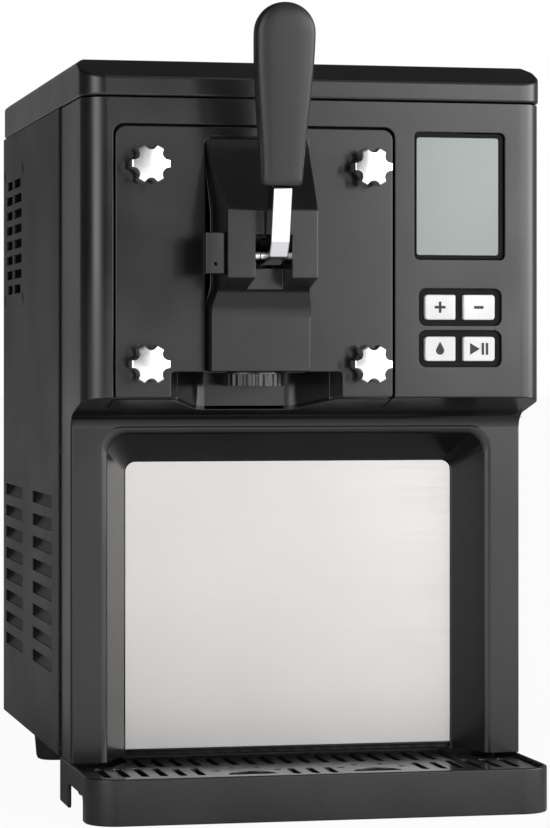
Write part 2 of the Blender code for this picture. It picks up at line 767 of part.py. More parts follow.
def lever_arm():
    """Bell crank: a finger that lifts the valve, the hub on the pin, and an upright that holds the grip."""
    corners = [
        (0.018, 0.312, 0.0039),
        (0.018, 0.320, 0.0039),
        (-0.020, 0.320, 0.006),
        (-0.026, 0.325, 0.004),
        (-0.0470, 0.325, 0.003),
        (-0.0563, 0.3715, 0.001),
        (-0.0650, 0.3715, 0.001),
        (-0.0650, 0.3512, 0.0),
        (-0.0688, 0.3510, 0.0),
        (-0.0620, 0.3220, 0.002),
        (-0.0565, 0.3135, 0.003),
        (-0.0400, 0.3100, 0.004),
        (-0.0240, 0.3100, 0.004),
        (-0.0200, 0.312, 0.006),
    ]
    outline = rounded([(back(d), z, r) for d, z, r in corners], 4)
    arm = prism("lever_arm", outline, "YZ", SLOT_X - LEVER_HALF, SLOT_X + LEVER_HALF, "chrome")
    bevel(arm, 0.0008, 1, 60)
    hole = cylinder("lever_hole", (SLOT_X, back(PIN_DEPTH), PIN_Z), "X", 0.03, PIN_RADIUS + GAP, sides=20)
    cut(arm, hole)
    smooth(arm)
    pivot(arm, (SLOT_X, back(PIN_DEPTH), PIN_Z))
    return arm


GRIP = {"low": 0.3524, "high": 0.4520, "half_low": 0.0113, "half_high": 0.0166, "thick": 0.0150}


def lever_grip():
    """Paddle grip that widens upwards to a full round top and leans forward a little."""
    top_centre = GRIP["high"] - GRIP["half_high"]
    outline = [(-GRIP["half_low"], GRIP["low"]), (GRIP["half_low"], GRIP["low"])]
    for i in range(19):
        angle = math.pi * i / 18
        outline.append((GRIP["half_high"] * math.cos(angle), top_centre + GRIP["half_high"] * math.sin(angle)))
    grip = prism("lever_grip", outline, "XZ", -GRIP["thick"] / 2, GRIP["thick"] / 2, "black_plastic")
    lean = Matrix.Rotation(math.radians(5), 4, "X")
    low = Vector((0, 0, GRIP["low"]))
    place = Matrix.Translation((SLOT_X, back(-0.0615), 0)) @ Matrix.Translation(low) @ lean
    grip.data.transform(place @ Matrix.Translation(-low))
    bevel(grip, 0.0035, 3, 60)
    socket = [(-0.0495, 0.340), (-0.0559, 0.3721), (-0.0654, 0.3721), (-0.0654, 0.340)]
    outline = [(back(d), z) for d, z in reversed(socket)]
    cut(grip, prism("grip_socket", outline, "YZ", SLOT_X - LEVER_HALF - GAP, SLOT_X + LEVER_HALF + GAP))
    smooth(grip)
    pivot(grip, (SLOT_X, back(PIN_DEPTH), PIN_Z))
    return grip


VALVE_LOW, VALVE_HIGH = 0.262, 0.328
RING_Z = {"piston_ring_lower": 0.2665, "piston_ring_upper": 0.2980}


def valve_piston():
    """Plunger with two grooves for its rings and a notch that the lever's finger works in."""
    groove, floor = 0.0013, 0.0110
    profile = [(0.0, VALVE_HIGH), (VALVE_RADIUS, VALVE_HIGH)]
    for z in sorted(RING_Z.values(), reverse=True):
        profile += [(VALVE_RADIUS, z + groove), (floor, z + groove), (floor, z - groove), (VALVE_RADIUS, z - groove)]
    profile += [(VALVE_RADIUS, VALVE_LOW), (0.0, VALVE_LOW)]
    centre = (SPOUT_X, back(VALVE_DEPTH), 0.0)
    piston = turned("valve_piston", profile, centre, "Z", "white_plastic", 28)
    notch = ((SPOUT_X - 0.02, back(-0.005), 0.3065), (SPOUT_X + 0.02, back(0.0195), 0.3225))
    cut(piston, box("piston_notch", *notch))
    return piston


def piston_ring(name):
    """Round-section seal in a groove of the plunger."""
    middle, section, sides = 0.0122, 0.0009, 6
    profile = []
    for i in range(sides):
        angle = -2 * math.pi * i / sides + math.pi / 2
        profile.append((middle + section * math.cos(angle), section * math.sin(angle)))
    return turned(name, profile, (SPOUT_X, back(VALVE_DEPTH), RING_Z[name]), "Z", "black_rubber", 24)


def nozzle_cap():
    """Ribbed ring nut with a star opening that shapes the ice cream."""
    centre = Vector((SPOUT_X, back(VALVE_DEPTH), 0.0))
    outline = []
    ribs = 32
    for i in range(ribs * 2):
        angle = math.pi * i / ribs
        radius = 0.0180 if i % 2 else 0.0174
        outline.append((centre.x + radius * math.cos(angle), centre.y + radius * math.sin(angle)))
    cap = prism("nozzle_cap", outline, "XY", 0.2432, 0.2498, "black_plastic")
    flange_mid = (centre.x, centre.y, 0.2502)
    join(cap, cylinder("nozzle_flange", flange_mid, "Z", 0.0010, 0.0188, sides=40))
    star = []
    for i in range(12):
        angle = math.pi * i / 6
        radius = 0.0112 if i % 2 else 0.0072
        star.append((centre.x + radius * math.cos(angle), centre.y + radius * math.sin(angle)))
    cut(cap, prism("nozzle_star", star, "XY", 0.23, 0.26))
    cut(cap, cylinder("nozzle_bore", (centre.x, centre.y, 0.250), "Z", 0.009, 0.0125, sides=32))
    pivot(cap, (centre.x, centre.y, 0.2432))
    return cap


# Freezing cylinder, beater and drive.


def freezing_cylinder():
    """Tube with a front flange, a closed rear end with the shaft's hole, and the feed hole on top."""
    front, rear = CYL_FRONT, CYL_BACK
    profile = [(CYL_OUTER, rear), (CYL_OUTER, front + 0.003), (0.048, front + 0.003), (0.048, front)]
    profile += [(CYL_INNER, front), (CYL_INNER, rear - 0.003), (0.0068, rear - 0.003), (0.0068, rear)]
    shell = turned("freezing_cylinder", profile, (SPOUT_X, FRONT, CYL_Z), "Y", "steel", 40)
    cut(shell, cylinder("feed_hole", (SPOUT_X, back(0.060), 0.341), "Z", 0.012, 0.0046, sides=16))
    return shell


def evaporator_coil():
    """Tube wound round the cylinder behind the feed hole."""
    first, last, per_turn = 0.0725, 0.166, 12
    count = COIL_TURNS * per_turn
    points = []
    for i in range(count + 1):
        angle = 2 * math.pi * i / per_turn
        depth = first + (last - first) * i / count
        x = SPOUT_X + COIL_RADIUS * math.cos(angle)
        points.append((x, back(depth), CYL_Z + COIL_RADIUS * math.sin(angle)))
    return pipe("evaporator_coil", points, COIL_TUBE, "copper")


def insulation_jacket():
    """Foam sleeve over the coil, with a hole for the feed tube."""
    centre = (SPOUT_X, back(0.1015), CYL_Z)
    jacket = turned_ring("insulation_jacket", centre, "Y", 0.0475, 0.0560, 0.121, "foam", 36)
    cut(jacket, cylinder("jacket_hole", (SPOUT_X, back(0.060), 0.355), "Z", 0.03, 0.0075, sides=20))
    return jacket


def beater():
    """Scraper: a shaft with one helical blade of three turns and a square socket at the back."""
    radius, turns, blade = 0.0368, 3, 0.0028
    start, reach = 0.036, 0.118
    shape = bmesh.new()
    inner = 0.0060
    section = [(radius, blade), (radius, 0.0), (inner, 0.0), (inner, blade)]
    corners = [shape.verts.new((r, 0.0, h)) for r, h in section]
    shape.faces.new(corners)
    mesh = bpy.data.meshes.new("beater_blade")
    shape.to_mesh(mesh)
    shape.free()
    blade_obj = adopt("beater_blade", mesh)
    blade_obj.matrix_world = Matrix.Translation((SPOUT_X, back(start), CYL_Z)) @ TURNS["Y"]
    screw = blade_obj.modifiers.new("Screw", "SCREW")
    screw.steps = 14
    screw.render_steps = 14
    screw.iterations = turns
    screw.screw_offset = reach / turns
    screw.angle = 2 * math.pi
    screw.use_merge_vertices = False
    length = 0.132
    shaft_mid = (SPOUT_X, back(0.034 + length / 2), CYL_Z)
    screw_axis = cylinder("beater", shaft_mid, "Y", length, 0.0085, "white_plastic", sides=24)
    apply_modifiers(blade_obj)
    join(screw_axis, blade_obj)
    socket = 0.0038
    low = (SPOUT_X - socket, back(0.158), CYL_Z - socket)
    cut(screw_axis, box("beater_socket", low, (SPOUT_X + socket, back(0.17), CYL_Z + socket)))
    pivot(screw_axis, (SPOUT_X, back(0.034), CYL_Z))
    return screw_axis


def drive_shaft():
    """Round shaft from the gearbox through the seal, with a square end in the beater."""
    shaft = cylinder("drive_shaft", (SPOUT_X, back(0.1770), CYL_Z), "Y", 0.0200, 0.0050, "steel", sides=24)
    half = 0.0035
    low = (SPOUT_X - half, back(0.1585), CYL_Z - half)
    join(shaft, box("shaft_square", low, (SPOUT_X + half, back(0.1672), CYL_Z + half)))
    pivot(shaft, (SPOUT_X, back(0.177), CYL_Z))
    return shaft


def shaft_seal():
    profile_centre = (SPOUT_X, back(0.1785), CYL_Z)
    return turned_ring("shaft_seal", profile_centre, "Y", 0.0054, 0.0130, 0.0060, "black_rubber", 24)


def gearbox():
    half = 0.036
    low, high = (SPOUT_X - half, back(0.1820), CYL_Z - half), (SPOUT_X + half, back(0.2230), CYL_Z + half)
    case = box("gearbox", low, high, "grey_plastic")
    bevel(case, 0.004, 2)
    cut(case, cylinder("gearbox_bore", (SPOUT_X, back(0.185), CYL_Z), "Y", 0.012, 0.0054, sides=24))
    return case


def drive_motor():
    centre = (SPOUT_X, back(0.2573), CYL_Z)
    motor = cylinder("drive_motor", centre, "Y", 0.068, 0.033, "bare_sheet", sides=32)
    bevel(motor, 0.002, 2, 60)
    return motor


# Cooling system.

COMPRESSOR_X, COMPRESSOR_DEPTH = 0.060, 0.245


def compressor():
    """Hermetic can on a foot plate."""
    low, high, radius = 0.0345, 0.178, 0.054
    profile = [(0.0, high), (0.024, high - 0.003), (0.042, high - 0.012), (radius, high - 0.034)]
    profile += [(radius, low + 0.030), (0.044, low + 0.010), (0.030, low + 0.004), (0.0, low + 0.004)]
    centre = (COMPRESSOR_X, back(COMPRESSOR_DEPTH), 0.0)
    can = turned("compressor", profile, centre, "Z", "black_sheet", 32)
    foot_low = (COMPRESSOR_X - 0.062, back(COMPRESSOR_DEPTH - 0.040), 0.0290)
    foot_high = (COMPRESSOR_X + 0.062, back(COMPRESSOR_DEPTH + 0.040), low + 0.006)
    join(can, box("compressor_foot", foot_low, foot_high))
    return can


def condenser():
    """Fin pack with the bent tube ends as two side plates."""
    fins, pitch = 13, 0.0120
    first = 0.128
    core = box("condenser", (-0.1200, back(first), 0.054), (-0.1080, back(first + pitch * (fins - 1) + 0.0016), 0.176), "bare_sheet")
    gaps = []
    for i in range(fins - 1):
        start = first + pitch * i + 0.0016
        for low, high in ((0.050, 0.078), (0.086, 0.111), (0.119, 0.144), (0.152, 0.180)):
            gaps.append(((-0.1210, back(start), low), (-0.1140, back(start + pitch - 0.0016), high)))
    cut(core, boxes("condenser_gaps", gaps))
    return core


FAN_DEPTH, FAN_Z = 0.205, 0.115


def fan_shroud():
    low, high = (-0.1040, back(0.128), 0.0295), (-0.1010, back(0.282), 0.190)
    plate = box("fan_shroud", low, high, "grey_plastic")
    cut(plate, cylinder("shroud_hole", (-0.1025, back(FAN_DEPTH), FAN_Z), "X", 0.02, 0.062, sides=40))
    return plate


def fan_blade():
    """Hub with five pitched blades on one axis along X."""
    hub_mid = (-0.0925, back(FAN_DEPTH), FAN_Z)
    fan = cylinder("fan_blade", hub_mid, "X", 0.014, 0.014, "grey_plastic", sides=24)
    for i in range(5):
        shape = bmesh.new()
        flat = Matrix.Diagonal((0.0016, 0.030, 0.046, 1.0))
        place = Matrix.Translation((0, 0, 0.034)) @ Matrix.Rotation(math.radians(24), 4, "Z") @ flat
        around = Matrix.Rotation(2 * math.pi * i / 5, 4, "X")
        bmesh.ops.create_cube(shape, size=1.0, matrix=Matrix.Translation(hub_mid) @ around @ place)
        mesh = bpy.data.meshes.new(f"fan_vane_{i}")
        shape.to_mesh(mesh)
        shape.free()
        join(fan, adopt(f"fan_vane_{i}", mesh))
    pivot(fan, hub_mid)
    return fan


def fan_motor():
    motor = cylinder("fan_motor", (-0.0700, back(FAN_DEPTH), FAN_Z), "X", 0.030, 0.021, "black_sheet", sides=28)
    bracket = box("fan_motor_leg", (-0.0790, back(FAN_DEPTH - 0.012), 0.0290), (-0.0620, back(FAN_DEPTH + 0.012), 0.103))
    join(motor, bracket)
    return motor


def arc_through(points, radius, steps=4):
    """The points of a pipe run with a bend of this radius at each inner corner."""
    route = [Vector(points[0])]
    for before, here, after in zip(points, points[1:], points[2:]):
        here = Vector(here)
        back_way = (Vector(before) - here).normalized()
        on_way = (Vector(after) - here).normalized()
        for k in range(steps + 1):
            t = k / steps
            start, end = here + back_way * radius, here + on_way * radius
            route.append(start * (1 - t) ** 2 + here * 2 * t * (1 - t) + end * t**2)
    route.append(Vector(points[-1]))
    return route


def discharge_line():
    """Hot gas pipe from the compressor up and over to the condenser."""
    top = 0.200
    corners = [(0.030, back(0.2300), 0.1790), (0.030, back(0.2300), top), (-0.086, back(0.2300), top)]
    corners += [(-0.086, back(0.292), top), (-0.114, back(0.292), top), (-0.114, back(0.292), 0.160)]
    corners.append((-0.114, back(0.2785), 0.160))
    return pipe("discharge_line", arc_through(corners, 0.006), 0.0025, "copper")


def suction_line():
    """Cold gas pipe from the end of the evaporator down to the compressor."""
    start_x, turn_z = SPOUT_X + COIL_RADIUS, 0.322
    corners = [(start_x, back(0.166), CYL_Z + 0.0008), (start_x, back(0.166), turn_z)]
    corners += [(start_x, back(0.195), turn_z), (0.070, back(0.195), turn_z), (0.070, back(0.195), 0.210)]
    corners += [(0.070, back(0.245), 0.210), (0.070, back(0.245), 0.1785)]
    return pipe("suction_line", arc_through(corners, 0.006), 0.0030, "copper")


# Drip tray, feet and power entry.


def drip_tray():
    """Shallow tray on a skirt: arches in both sides and at the back leave two legs at each rear corner."""
    tray = prism("drip_tray", tray_outline(0.0), "XY", 0.0, TRAY_TOP, "black_plastic")
    cut(tray, prism("tray_hollow", tray_outline(TRAY_WALL), "XY", -0.01, TRAY_FLOOR - 0.0018))
    cut(tray, prism("tray_basin", tray_outline(TRAY_WALL), "XY", TRAY_FLOOR, 0.05))
    arch_top = 0.0141
    arch = [(back(0.002), -0.01, 0), (back(0.058), -0.01, 0), (back(0.058), arch_top, 0.003), (back(0.002), arch_top, 0.003)]
    cut(tray, prism("tray_arch", rounded(arch, 3), "YZ", -0.2, 0.2))
    cut(tray, box("tray_rear_arch", (-0.100, back(0.085), -0.01), (0.100, back(0.10), arch_top)))
    ledge_top = GRATE_LOW - GAP
    for side in (-1, 1):
        inner, outer = sorted((side * 0.1272, side * 0.1320))
        ledge = box("tray_ledge", (inner, back(-0.002), TRAY_FLOOR - 0.0005), (outer, back(0.044), ledge_top))
        join(tray, ledge)
    pivot(tray, (0, back(TRAY_BACK), 0.0))
    return tray


def tray_outline(inset):
    half, front, rear = 0.1336 - inset, back(TRAY_FRONT + inset), back(TRAY_BACK - inset)
    front_radius, rear_radius = 0.018 - inset, 0.004 - inset / 2
    corners = [(-half, front, front_radius), (half, front, front_radius), (half, rear, rear_radius), (-half, rear, rear_radius)]
    return rounded(corners, 6)


SLOT_PITCH = 0.0105
SLOT_COUNT = 23
GRATE_LOW, GRATE_HIGH = 0.0216, 0.0242


def drip_grate():
    """Lift-out grate. Its rear tongue fits between the slanting sides of the cup recess."""
    corners = [
        (-0.1293, back(-0.0190), 0.0145),
        (0.1293, back(-0.0190), 0.0145),
        (0.1293, back(0.0462), 0.001),
        (0.1115, back(0.0462), 0.001),
        (0.0970, back(0.0703), 0.001),
        (-0.0970, back(0.0703), 0.001),
        (-0.1115, back(0.0462), 0.001),
        (-0.1293, back(0.0462), 0.001),
    ]
    grate = prism("drip_grate", rounded(corners, 4), "XY", GRATE_LOW, GRATE_HIGH, "black_plastic")
    holes = []
    low, high, half = GRATE_LOW - 0.01, GRATE_HIGH + 0.01, 0.0019
    for i in range(SLOT_COUNT):
        x = SLOT_PITCH * (i - (SLOT_COUNT - 1) / 2)
        in_crescent = 6 <= i <= 9 or 13 <= i <= 16
        front_row = (0.024, 0.031) if in_crescent else (0.003, 0.035)
        holes.append(((x - half, back(front_row[0]), low), (x + half, back(front_row[1]), high)))
        if 2 <= i <= SLOT_COUNT - 3:
            holes.append(((x - half, back(0.045), low), (x + half, back(0.066), high)))
    cut(grate, boxes("grate_slots", holes))
    for i, x in enumerate((-0.0370, 0.0370)):
        crescent = [(x - 0.014, back(0.004))]
        for k in range(9):
            angle = math.pi * (1 - k / 8)
            crescent.append((x + 0.014 * math.cos(angle), back(0.004 + 0.0105 * math.sin(angle))))
        outline = [Vector(p) for p in crescent[1:]]
        cut(grate, prism(f"grate_crescent_{i}", list(reversed(outline)), "XY", low, high))
    pivot(grate, (0, back(0.026), GRATE_LOW))
    return grate


def foot(name, x, depth):
    """Tapered rubber foot."""
    height = BODY_BOTTOM - GAP
    profile = [(0.0, height), (0.0140, height), (0.0140, height - 0.004), (0.0118, 0.0015), (0.0103, 0.0), (0.0, 0.0)]
    return turned(name, profile, (x, back(depth), 0.0), "Z", "black_rubber", 28)


def power_inlet():
    """Appliance inlet: a recessed socket with three flat pins."""
    x, z = -0.087, 0.059
    low, high = (x - 0.0138, back(0.3220), z - 0.0098), (x + 0.0138, back(DEPTH - 0.0003), z + 0.0098)
    inlet = box("power_inlet", low, high, "grey_plastic")
    cut(inlet, box("inlet_well", (x - 0.0115, back(0.3280), z - 0.0075), (x + 0.0115, back(0.35), z + 0.0075)))
    for i, (dx, dz) in enumerate(((-0.007, -0.002), (0.0, 0.002), (0.007, -0.002))):
        pin = ((x + dx - 0.001, back(0.3270), z + dz - 0.002), (x + dx + 0.001, back(0.3400), z + dz + 0.002))
        join(inlet, box(f"inlet_pin_{i}", *pin))
    return inlet


SWITCH_X, SWITCH_Z, SWITCH_DEPTH = -0.0495, 0.059, 0.3385


def power_switch():
    """Rocker whose face is bent in the middle, on an axis along X."""
    points = [(0.3300, -0.0055), (0.3462, -0.0088), (0.3436, 0.0), (0.3445, 0.0088), (0.3300, 0.0055)]
    outline = [(back(d), SWITCH_Z + z) for d, z in points]
    rocker = prism("power_switch", outline, "YZ", SWITCH_X - 0.0070, SWITCH_X + 0.0070, "black_plastic")
    pivot(rocker, (SWITCH_X, back(SWITCH_DEPTH), SWITCH_Z))
    return rocker


def build():
    front_frame()
    front_bulkhead()
    side_panel("left_side_panel", -1)
    side_panel("right_side_panel", 1)
    rear_panel()
    base_plate()
    splash_panel()
    lid()
    top_deck()
    hopper()
    feed_tube()
    display_housing()
    display_lens()
    for name in BUTTONS:
        button(name)
    control_board()
    cylinder_door()
    door_gasket()
    for index, (x, z) in enumerate(knob_places(), 1):
        door_stud(index, x, z)
        star_knob(index, x, z)
    pivot_pin()
    lever_arm()
    lever_grip()
    valve_piston()
    for name in RING_Z:
        piston_ring(name)
    nozzle_cap()
    freezing_cylinder()
    evaporator_coil()
    insulation_jacket()
    beater()
    drive_shaft()
    shaft_seal()
    gearbox()
    drive_motor()
    compressor()
    condenser()
    fan_shroud()
    fan_blade()
    fan_motor()
    discharge_line()
    suction_line()
    drip_tray()
    drip_grate()
    for row, depth in zip(("front", "rear"), FOOT_DEPTHS):
        for side, x in (("left", -FOOT_X), ("right", FOOT_X)):
            foot(f"foot_{row}_{side}", x, depth)
    power_inlet()
    power_switch()


build()
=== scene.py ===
"""Looks of the countertop soft-serve ice cream maker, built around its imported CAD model.

Metres, +Z up. The machine's front looks along -Y, and back(d) gives the Y of a point that lies d behind
the plane of its upper front face. A CAD solid is replaced by a finer piece, or gets a procedural material.
"""

import json
import math

import bmesh
import bpy
from mathutils import Matrix, Vector


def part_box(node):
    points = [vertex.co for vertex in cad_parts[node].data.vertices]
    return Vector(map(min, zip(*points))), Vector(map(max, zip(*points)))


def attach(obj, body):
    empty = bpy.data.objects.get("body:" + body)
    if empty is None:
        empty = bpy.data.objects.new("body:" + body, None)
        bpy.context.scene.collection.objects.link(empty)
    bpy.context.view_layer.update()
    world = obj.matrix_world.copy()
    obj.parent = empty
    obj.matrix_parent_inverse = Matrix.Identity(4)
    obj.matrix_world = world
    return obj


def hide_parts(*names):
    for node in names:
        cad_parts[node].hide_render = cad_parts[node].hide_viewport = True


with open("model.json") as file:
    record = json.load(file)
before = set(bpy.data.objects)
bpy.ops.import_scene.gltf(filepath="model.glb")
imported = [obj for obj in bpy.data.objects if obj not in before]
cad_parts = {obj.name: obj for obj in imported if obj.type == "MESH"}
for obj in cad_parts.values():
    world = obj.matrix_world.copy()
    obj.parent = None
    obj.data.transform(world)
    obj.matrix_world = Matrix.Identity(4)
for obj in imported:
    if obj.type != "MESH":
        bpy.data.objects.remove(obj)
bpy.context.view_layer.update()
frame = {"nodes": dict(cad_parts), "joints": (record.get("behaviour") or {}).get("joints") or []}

# Places and sizes read from the CAD nodes.
FRAME_LOW, FRAME_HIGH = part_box("front_frame")
PANEL_LOW, PANEL_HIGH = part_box("left_side_panel")
REAR_LOW, REAR_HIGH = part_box("rear_panel")
LID_LOW, LID_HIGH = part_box("lid")
DOOR_LOW, DOOR_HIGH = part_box("cylinder_door")
SPLASH_LOW, SPLASH_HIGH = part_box("splash_panel")
TRAY_LOW, TRAY_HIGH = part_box("drip_tray")
GRATE_LOW, GRATE_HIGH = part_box("drip_grate")
NOZZLE_LOW, NOZZLE_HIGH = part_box("nozzle_cap")
LENS_LOW, LENS_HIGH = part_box("display_lens")
HOUSING_LOW, HOUSING_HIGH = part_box("display_housing")
PIN = Vector(next(j for j in frame["joints"] if j["name"] == "lever_pull")["pos_m"])

FRONT = FRAME_LOW.y
HALF_WIDTH = FRAME_HIGH.x
PANEL_HALF = -PANEL_LOW.x
SHEET = PANEL_HIGH.x - PANEL_LOW.x
SIDE_SEAM = FRAME_HIGH.y - FRONT
DEPTH = PANEL_HIGH.y - FRONT
BODY_BOTTOM = FRAME_LOW.z
BODY_TOP = FRAME_HIGH.z
SPOUT_X = (NOZZLE_LOW.x + NOZZLE_HIGH.x) / 2
SLOT_X = PIN.x

# Dimensions that the boxes don't hold.
WALL = 0.003
CORNER = 0.014
CHIN_FRONT_Z = 0.2363
CHIN_BACK_Z = 0.2257
LOWER_FRONT = 0.047
CHIN_SLOPE = (CHIN_BACK_Z - CHIN_FRONT_Z) / LOWER_FRONT
RECESS_HALF = 0.1132
RECESS_TOP = 0.2165
NOTCH_LEFT, NOTCH_RIGHT, NOTCH_TOP = -0.0834, 0.0149, 0.251
SLOT_HALF = 0.01025
LEVER_HALF = 0.00525
VALVE_DEPTH = 0.0115
GAP = 0.0003
FAR = 0.2

# The studio's brightness at each azimuth in degrees, counted from the front towards the machine's right, and
# the share of it that is left overhead. It fades between two heights of the direction that light comes from.
STUDIO_LEVELS = (
    (-180, 0.20), (-155, 0.18), (-140, 0.08), (-80, 0.06), (-69, 0.5), (-62, 2.0), (-52, 4.4), (-40, 4.8),
    (-30, 3.0), (-20, 1.0), (-12, 0.25), (-3, 0.16), (1.8, 0.26), (2.4, 0.02), (3.8, 0.02), (4.4, 0.26),
    (13.1, 0.36), (15.4, 5.5), (28, 4.7), (43, 5.1), (59, 5.6), (72, 6.8), (82, 6.8), (90, 4.0), (98, 1.2),
    (107, 0.5), (125, 0.35), (140, 0.3), (160, 0.25), (180, 0.20),
)
BRIGHTEST = 10.0
CEILING_LEVEL = 0.12
FADE_START, FADE_END = 0.12, 0.66

# The floor's glow in front of the machine, where it fades out, and how plainly white the camera sees it.
FLOOR_LIFT = 1.05
LIFT_START_Y, LIFT_END_Y = -0.7, 0.0
FLOOR_WHITENESS = 0.95

WORK = bpy.data.collections.new("ice_cream_maker_looks")
bpy.context.scene.collection.children.link(WORK)


def back(depth):
    """Y of a point this far behind the upper front face."""
    return FRONT + depth


# Mesh tools.


def adopt(name, mesh):
    obj = bpy.data.objects.new(name, mesh)
    WORK.objects.link(obj)
    return obj


def mesh_of(shape, name):
    """The object of a bmesh, with its faces turned out."""
    bmesh.ops.recalc_face_normals(shape, faces=shape.faces)
    mesh = bpy.data.meshes.new(name)
    shape.to_mesh(mesh)
    shape.free()
    return adopt(name, mesh)


def box(name, low, high):
    shape = bmesh.new()
    low, high = Vector(low), Vector(high)
    size = Matrix.Diagonal((*(high - low), 1.0))
    bmesh.ops.create_cube(shape, size=1.0, matrix=Matrix.Translation((low + high) / 2) @ size)
    return mesh_of(shape, name)


TURNS = {
    "X": Matrix.Rotation(math.pi / 2, 4, "Y"),
    "Y": Matrix.Rotation(-math.pi / 2, 4, "X"),
    "Z": Matrix.Identity(4),
}


def cylinder(name, centre, axis, length, radius, sides=64):
    shape = bmesh.new()
    place = Matrix.Translation(centre) @ TURNS[axis]
    bmesh.ops.create_cone(
        shape, cap_ends=True, segments=sides, radius1=radius, radius2=radius, depth=length, matrix=place
    )
    return mesh_of(shape, name)


def rounded(corners, steps=10):
    """The points of an outline, with an arc at each corner (x, y, radius) whose radius isn't 0."""
    points = []
    for i, (x, y, radius) in enumerate(corners):
        here = Vector((x, y))
        if radius == 0:
            points.append(here)
            continue
        before = (Vector(corners[i - 1][:2]) - here).normalized()
        after = (Vector(corners[(i + 1) % len(corners)][:2]) - here).normalized()
        half = before.angle(after) / 2
        reach = radius / math.tan(half)
        centre = here + (before + after).normalized() * radius / math.sin(half)
        start = here + before * reach - centre
        end = here + after * reach - centre
        sweep = start.angle_signed(end)
        for k in range(steps + 1):
            points.append(centre + Matrix.Rotation(-sweep * k / steps, 2) @ start)
    return points


def rectangle(left, low, right, high, radius, steps=10):
    corners = [(left, low, radius), (right, low, radius), (right, high, radius), (left, high, radius)]
    return rounded(corners, steps)


PLANES = {
    "XY": lambda p, t: (p[0], p[1], t),
    "XZ": lambda p, t: (p[0], t, p[1]),
    "YZ": lambda p, t: (t, p[0], p[1]),
}


def loft(name, rings):
    """A solid over rings of equal length, closed by the first and the last."""
    shape = bmesh.new()
    rows = [[shape.verts.new(p) for p in ring] for ring in rings]
    for lower, upper in zip(rows, rows[1:]):
        for i in range(len(lower)):
            shape.faces.new((lower[i - 1], lower[i], upper[i], upper[i - 1]))
    shape.faces.new(list(reversed(rows[0])))
    shape.faces.new(rows[-1])
    return mesh_of(shape, name)


def prism(name, points, plane, start, end):
    """A flat outline in a plane, extruded from start to end along the third axis."""
    place = PLANES[plane]
    return loft(name, [[place(p, start) for p in points], [place(p, end) for p in points]])


def turned(name, profile, centre, axis, steps=64):
    """A profile of (radius, height) turned about an axis, on which it starts and ends."""
    shape = bmesh.new()
    corners = [shape.verts.new((radius, 0.0, height)) for radius, height in profile]
    edges = [shape.edges.new(ends) for ends in zip(corners, corners[1:])]
    bmesh.ops.spin(
        shape, geom=corners + edges, cent=(0, 0, 0), axis=(0, 0, 1), angle=2 * math.pi, steps=steps,
        use_duplicate=False,
    )
    bmesh.ops.remove_doubles(shape, verts=shape.verts, dist=1e-7)
    bmesh.ops.transform(shape, matrix=Matrix.Translation(centre) @ TURNS[axis], verts=shape.verts)
    return mesh_of(shape, name)


def bake(obj):
    """Replaces an object's modifiers by the mesh that they make."""
    bpy.context.view_layer.update()
    graph = bpy.context.evaluated_depsgraph_get()
    mesh = bpy.data.meshes.new_from_object(obj.evaluated_get(graph))
    obj.modifiers.clear()
    obj.data = mesh


def combine(obj, other, operation="DIFFERENCE"):
    """Cuts, joins or intersects an object with another, which is used up."""
    modifier = obj.modifiers.new(operation.title(), "BOOLEAN")
    modifier.operation = operation
    modifier.object = other
    modifier.solver = "EXACT"
    bake(obj)
    bpy.data.objects.remove(other, do_unlink=True)


def cut(obj, *others):
    for other in others:
        combine(obj, other)


def join(obj, *others):
    for other in others:
        combine(obj, other, "UNION")


def clean(obj, angle=0.3):
    """Welds and merges the flat faces that Booleans leave in pieces."""
    shape = bmesh.new()
    shape.from_mesh(obj.data)
    bmesh.ops.remove_doubles(shape, verts=shape.verts, dist=5e-6)
    bmesh.ops.dissolve_limit(
        shape, angle_limit=math.radians(angle), verts=shape.verts, edges=shape.edges, delimit={"NORMAL"}
    )
    shape.to_mesh(obj.data)
    shape.free()


def bevel(obj, width, segments=3, limit=30):
    modifier = obj.modifiers.new("Bevel", "BEVEL")
    modifier.width = width
    modifier.segments = segments
    modifier.limit_method = "ANGLE"
    modifier.angle_limit = math.radians(limit)
    modifier.use_clamp_overlap = False
    modifier.miter_outer = "MITER_ARC"
    bake(obj)


def round_front(obj, width, segments, limit, rear):
    """Rounds the sharp edges that lie in front of a depth, and leaves the back of the piece flat."""
    shape = bmesh.new()
    shape.from_mesh(obj.data)
    ahead = [edge for edge in shape.edges if max(vertex.co.y for vertex in edge.verts) < back(rear)]
    edges = [edge for edge in ahead if edge.is_manifold and edge.calc_face_angle() > math.radians(limit)]
    bmesh.ops.bevel(
        shape, geom=edges, offset=width, offset_type="OFFSET", segments=segments, profile=0.5, affect="EDGES",
        clamp_overlap=False, miter_outer="ARC",
    )
    shape.to_mesh(obj.data)
    shape.free()


def smooth(obj, angle=40, weighted=True):
    obj.data.shade_smooth()
    obj.data.set_sharp_from_angle(angle=math.radians(angle))
    if weighted:
        modifier = obj.modifiers.new("Normals", "WEIGHTED_NORMAL")
        modifier.keep_sharp = True
        bake(obj)


def soften(obj, width, segments=3, limit=30):
    """Cleans a piece that Booleans made, and rounds its sharp edges."""
    clean(obj)
    bevel(obj, width, segments, limit)
    smooth(obj)


def show(obj, material, body, slot, *nodes):
    """Finishes a piece: its material, the body it rides on, and the CAD nodes it stands for. The slot is not
    used.
    """
    obj.data.materials.clear()
    obj.data.materials.append(material)
    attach(obj, body)
    if nodes:
        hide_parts(*nodes)


# Materials.


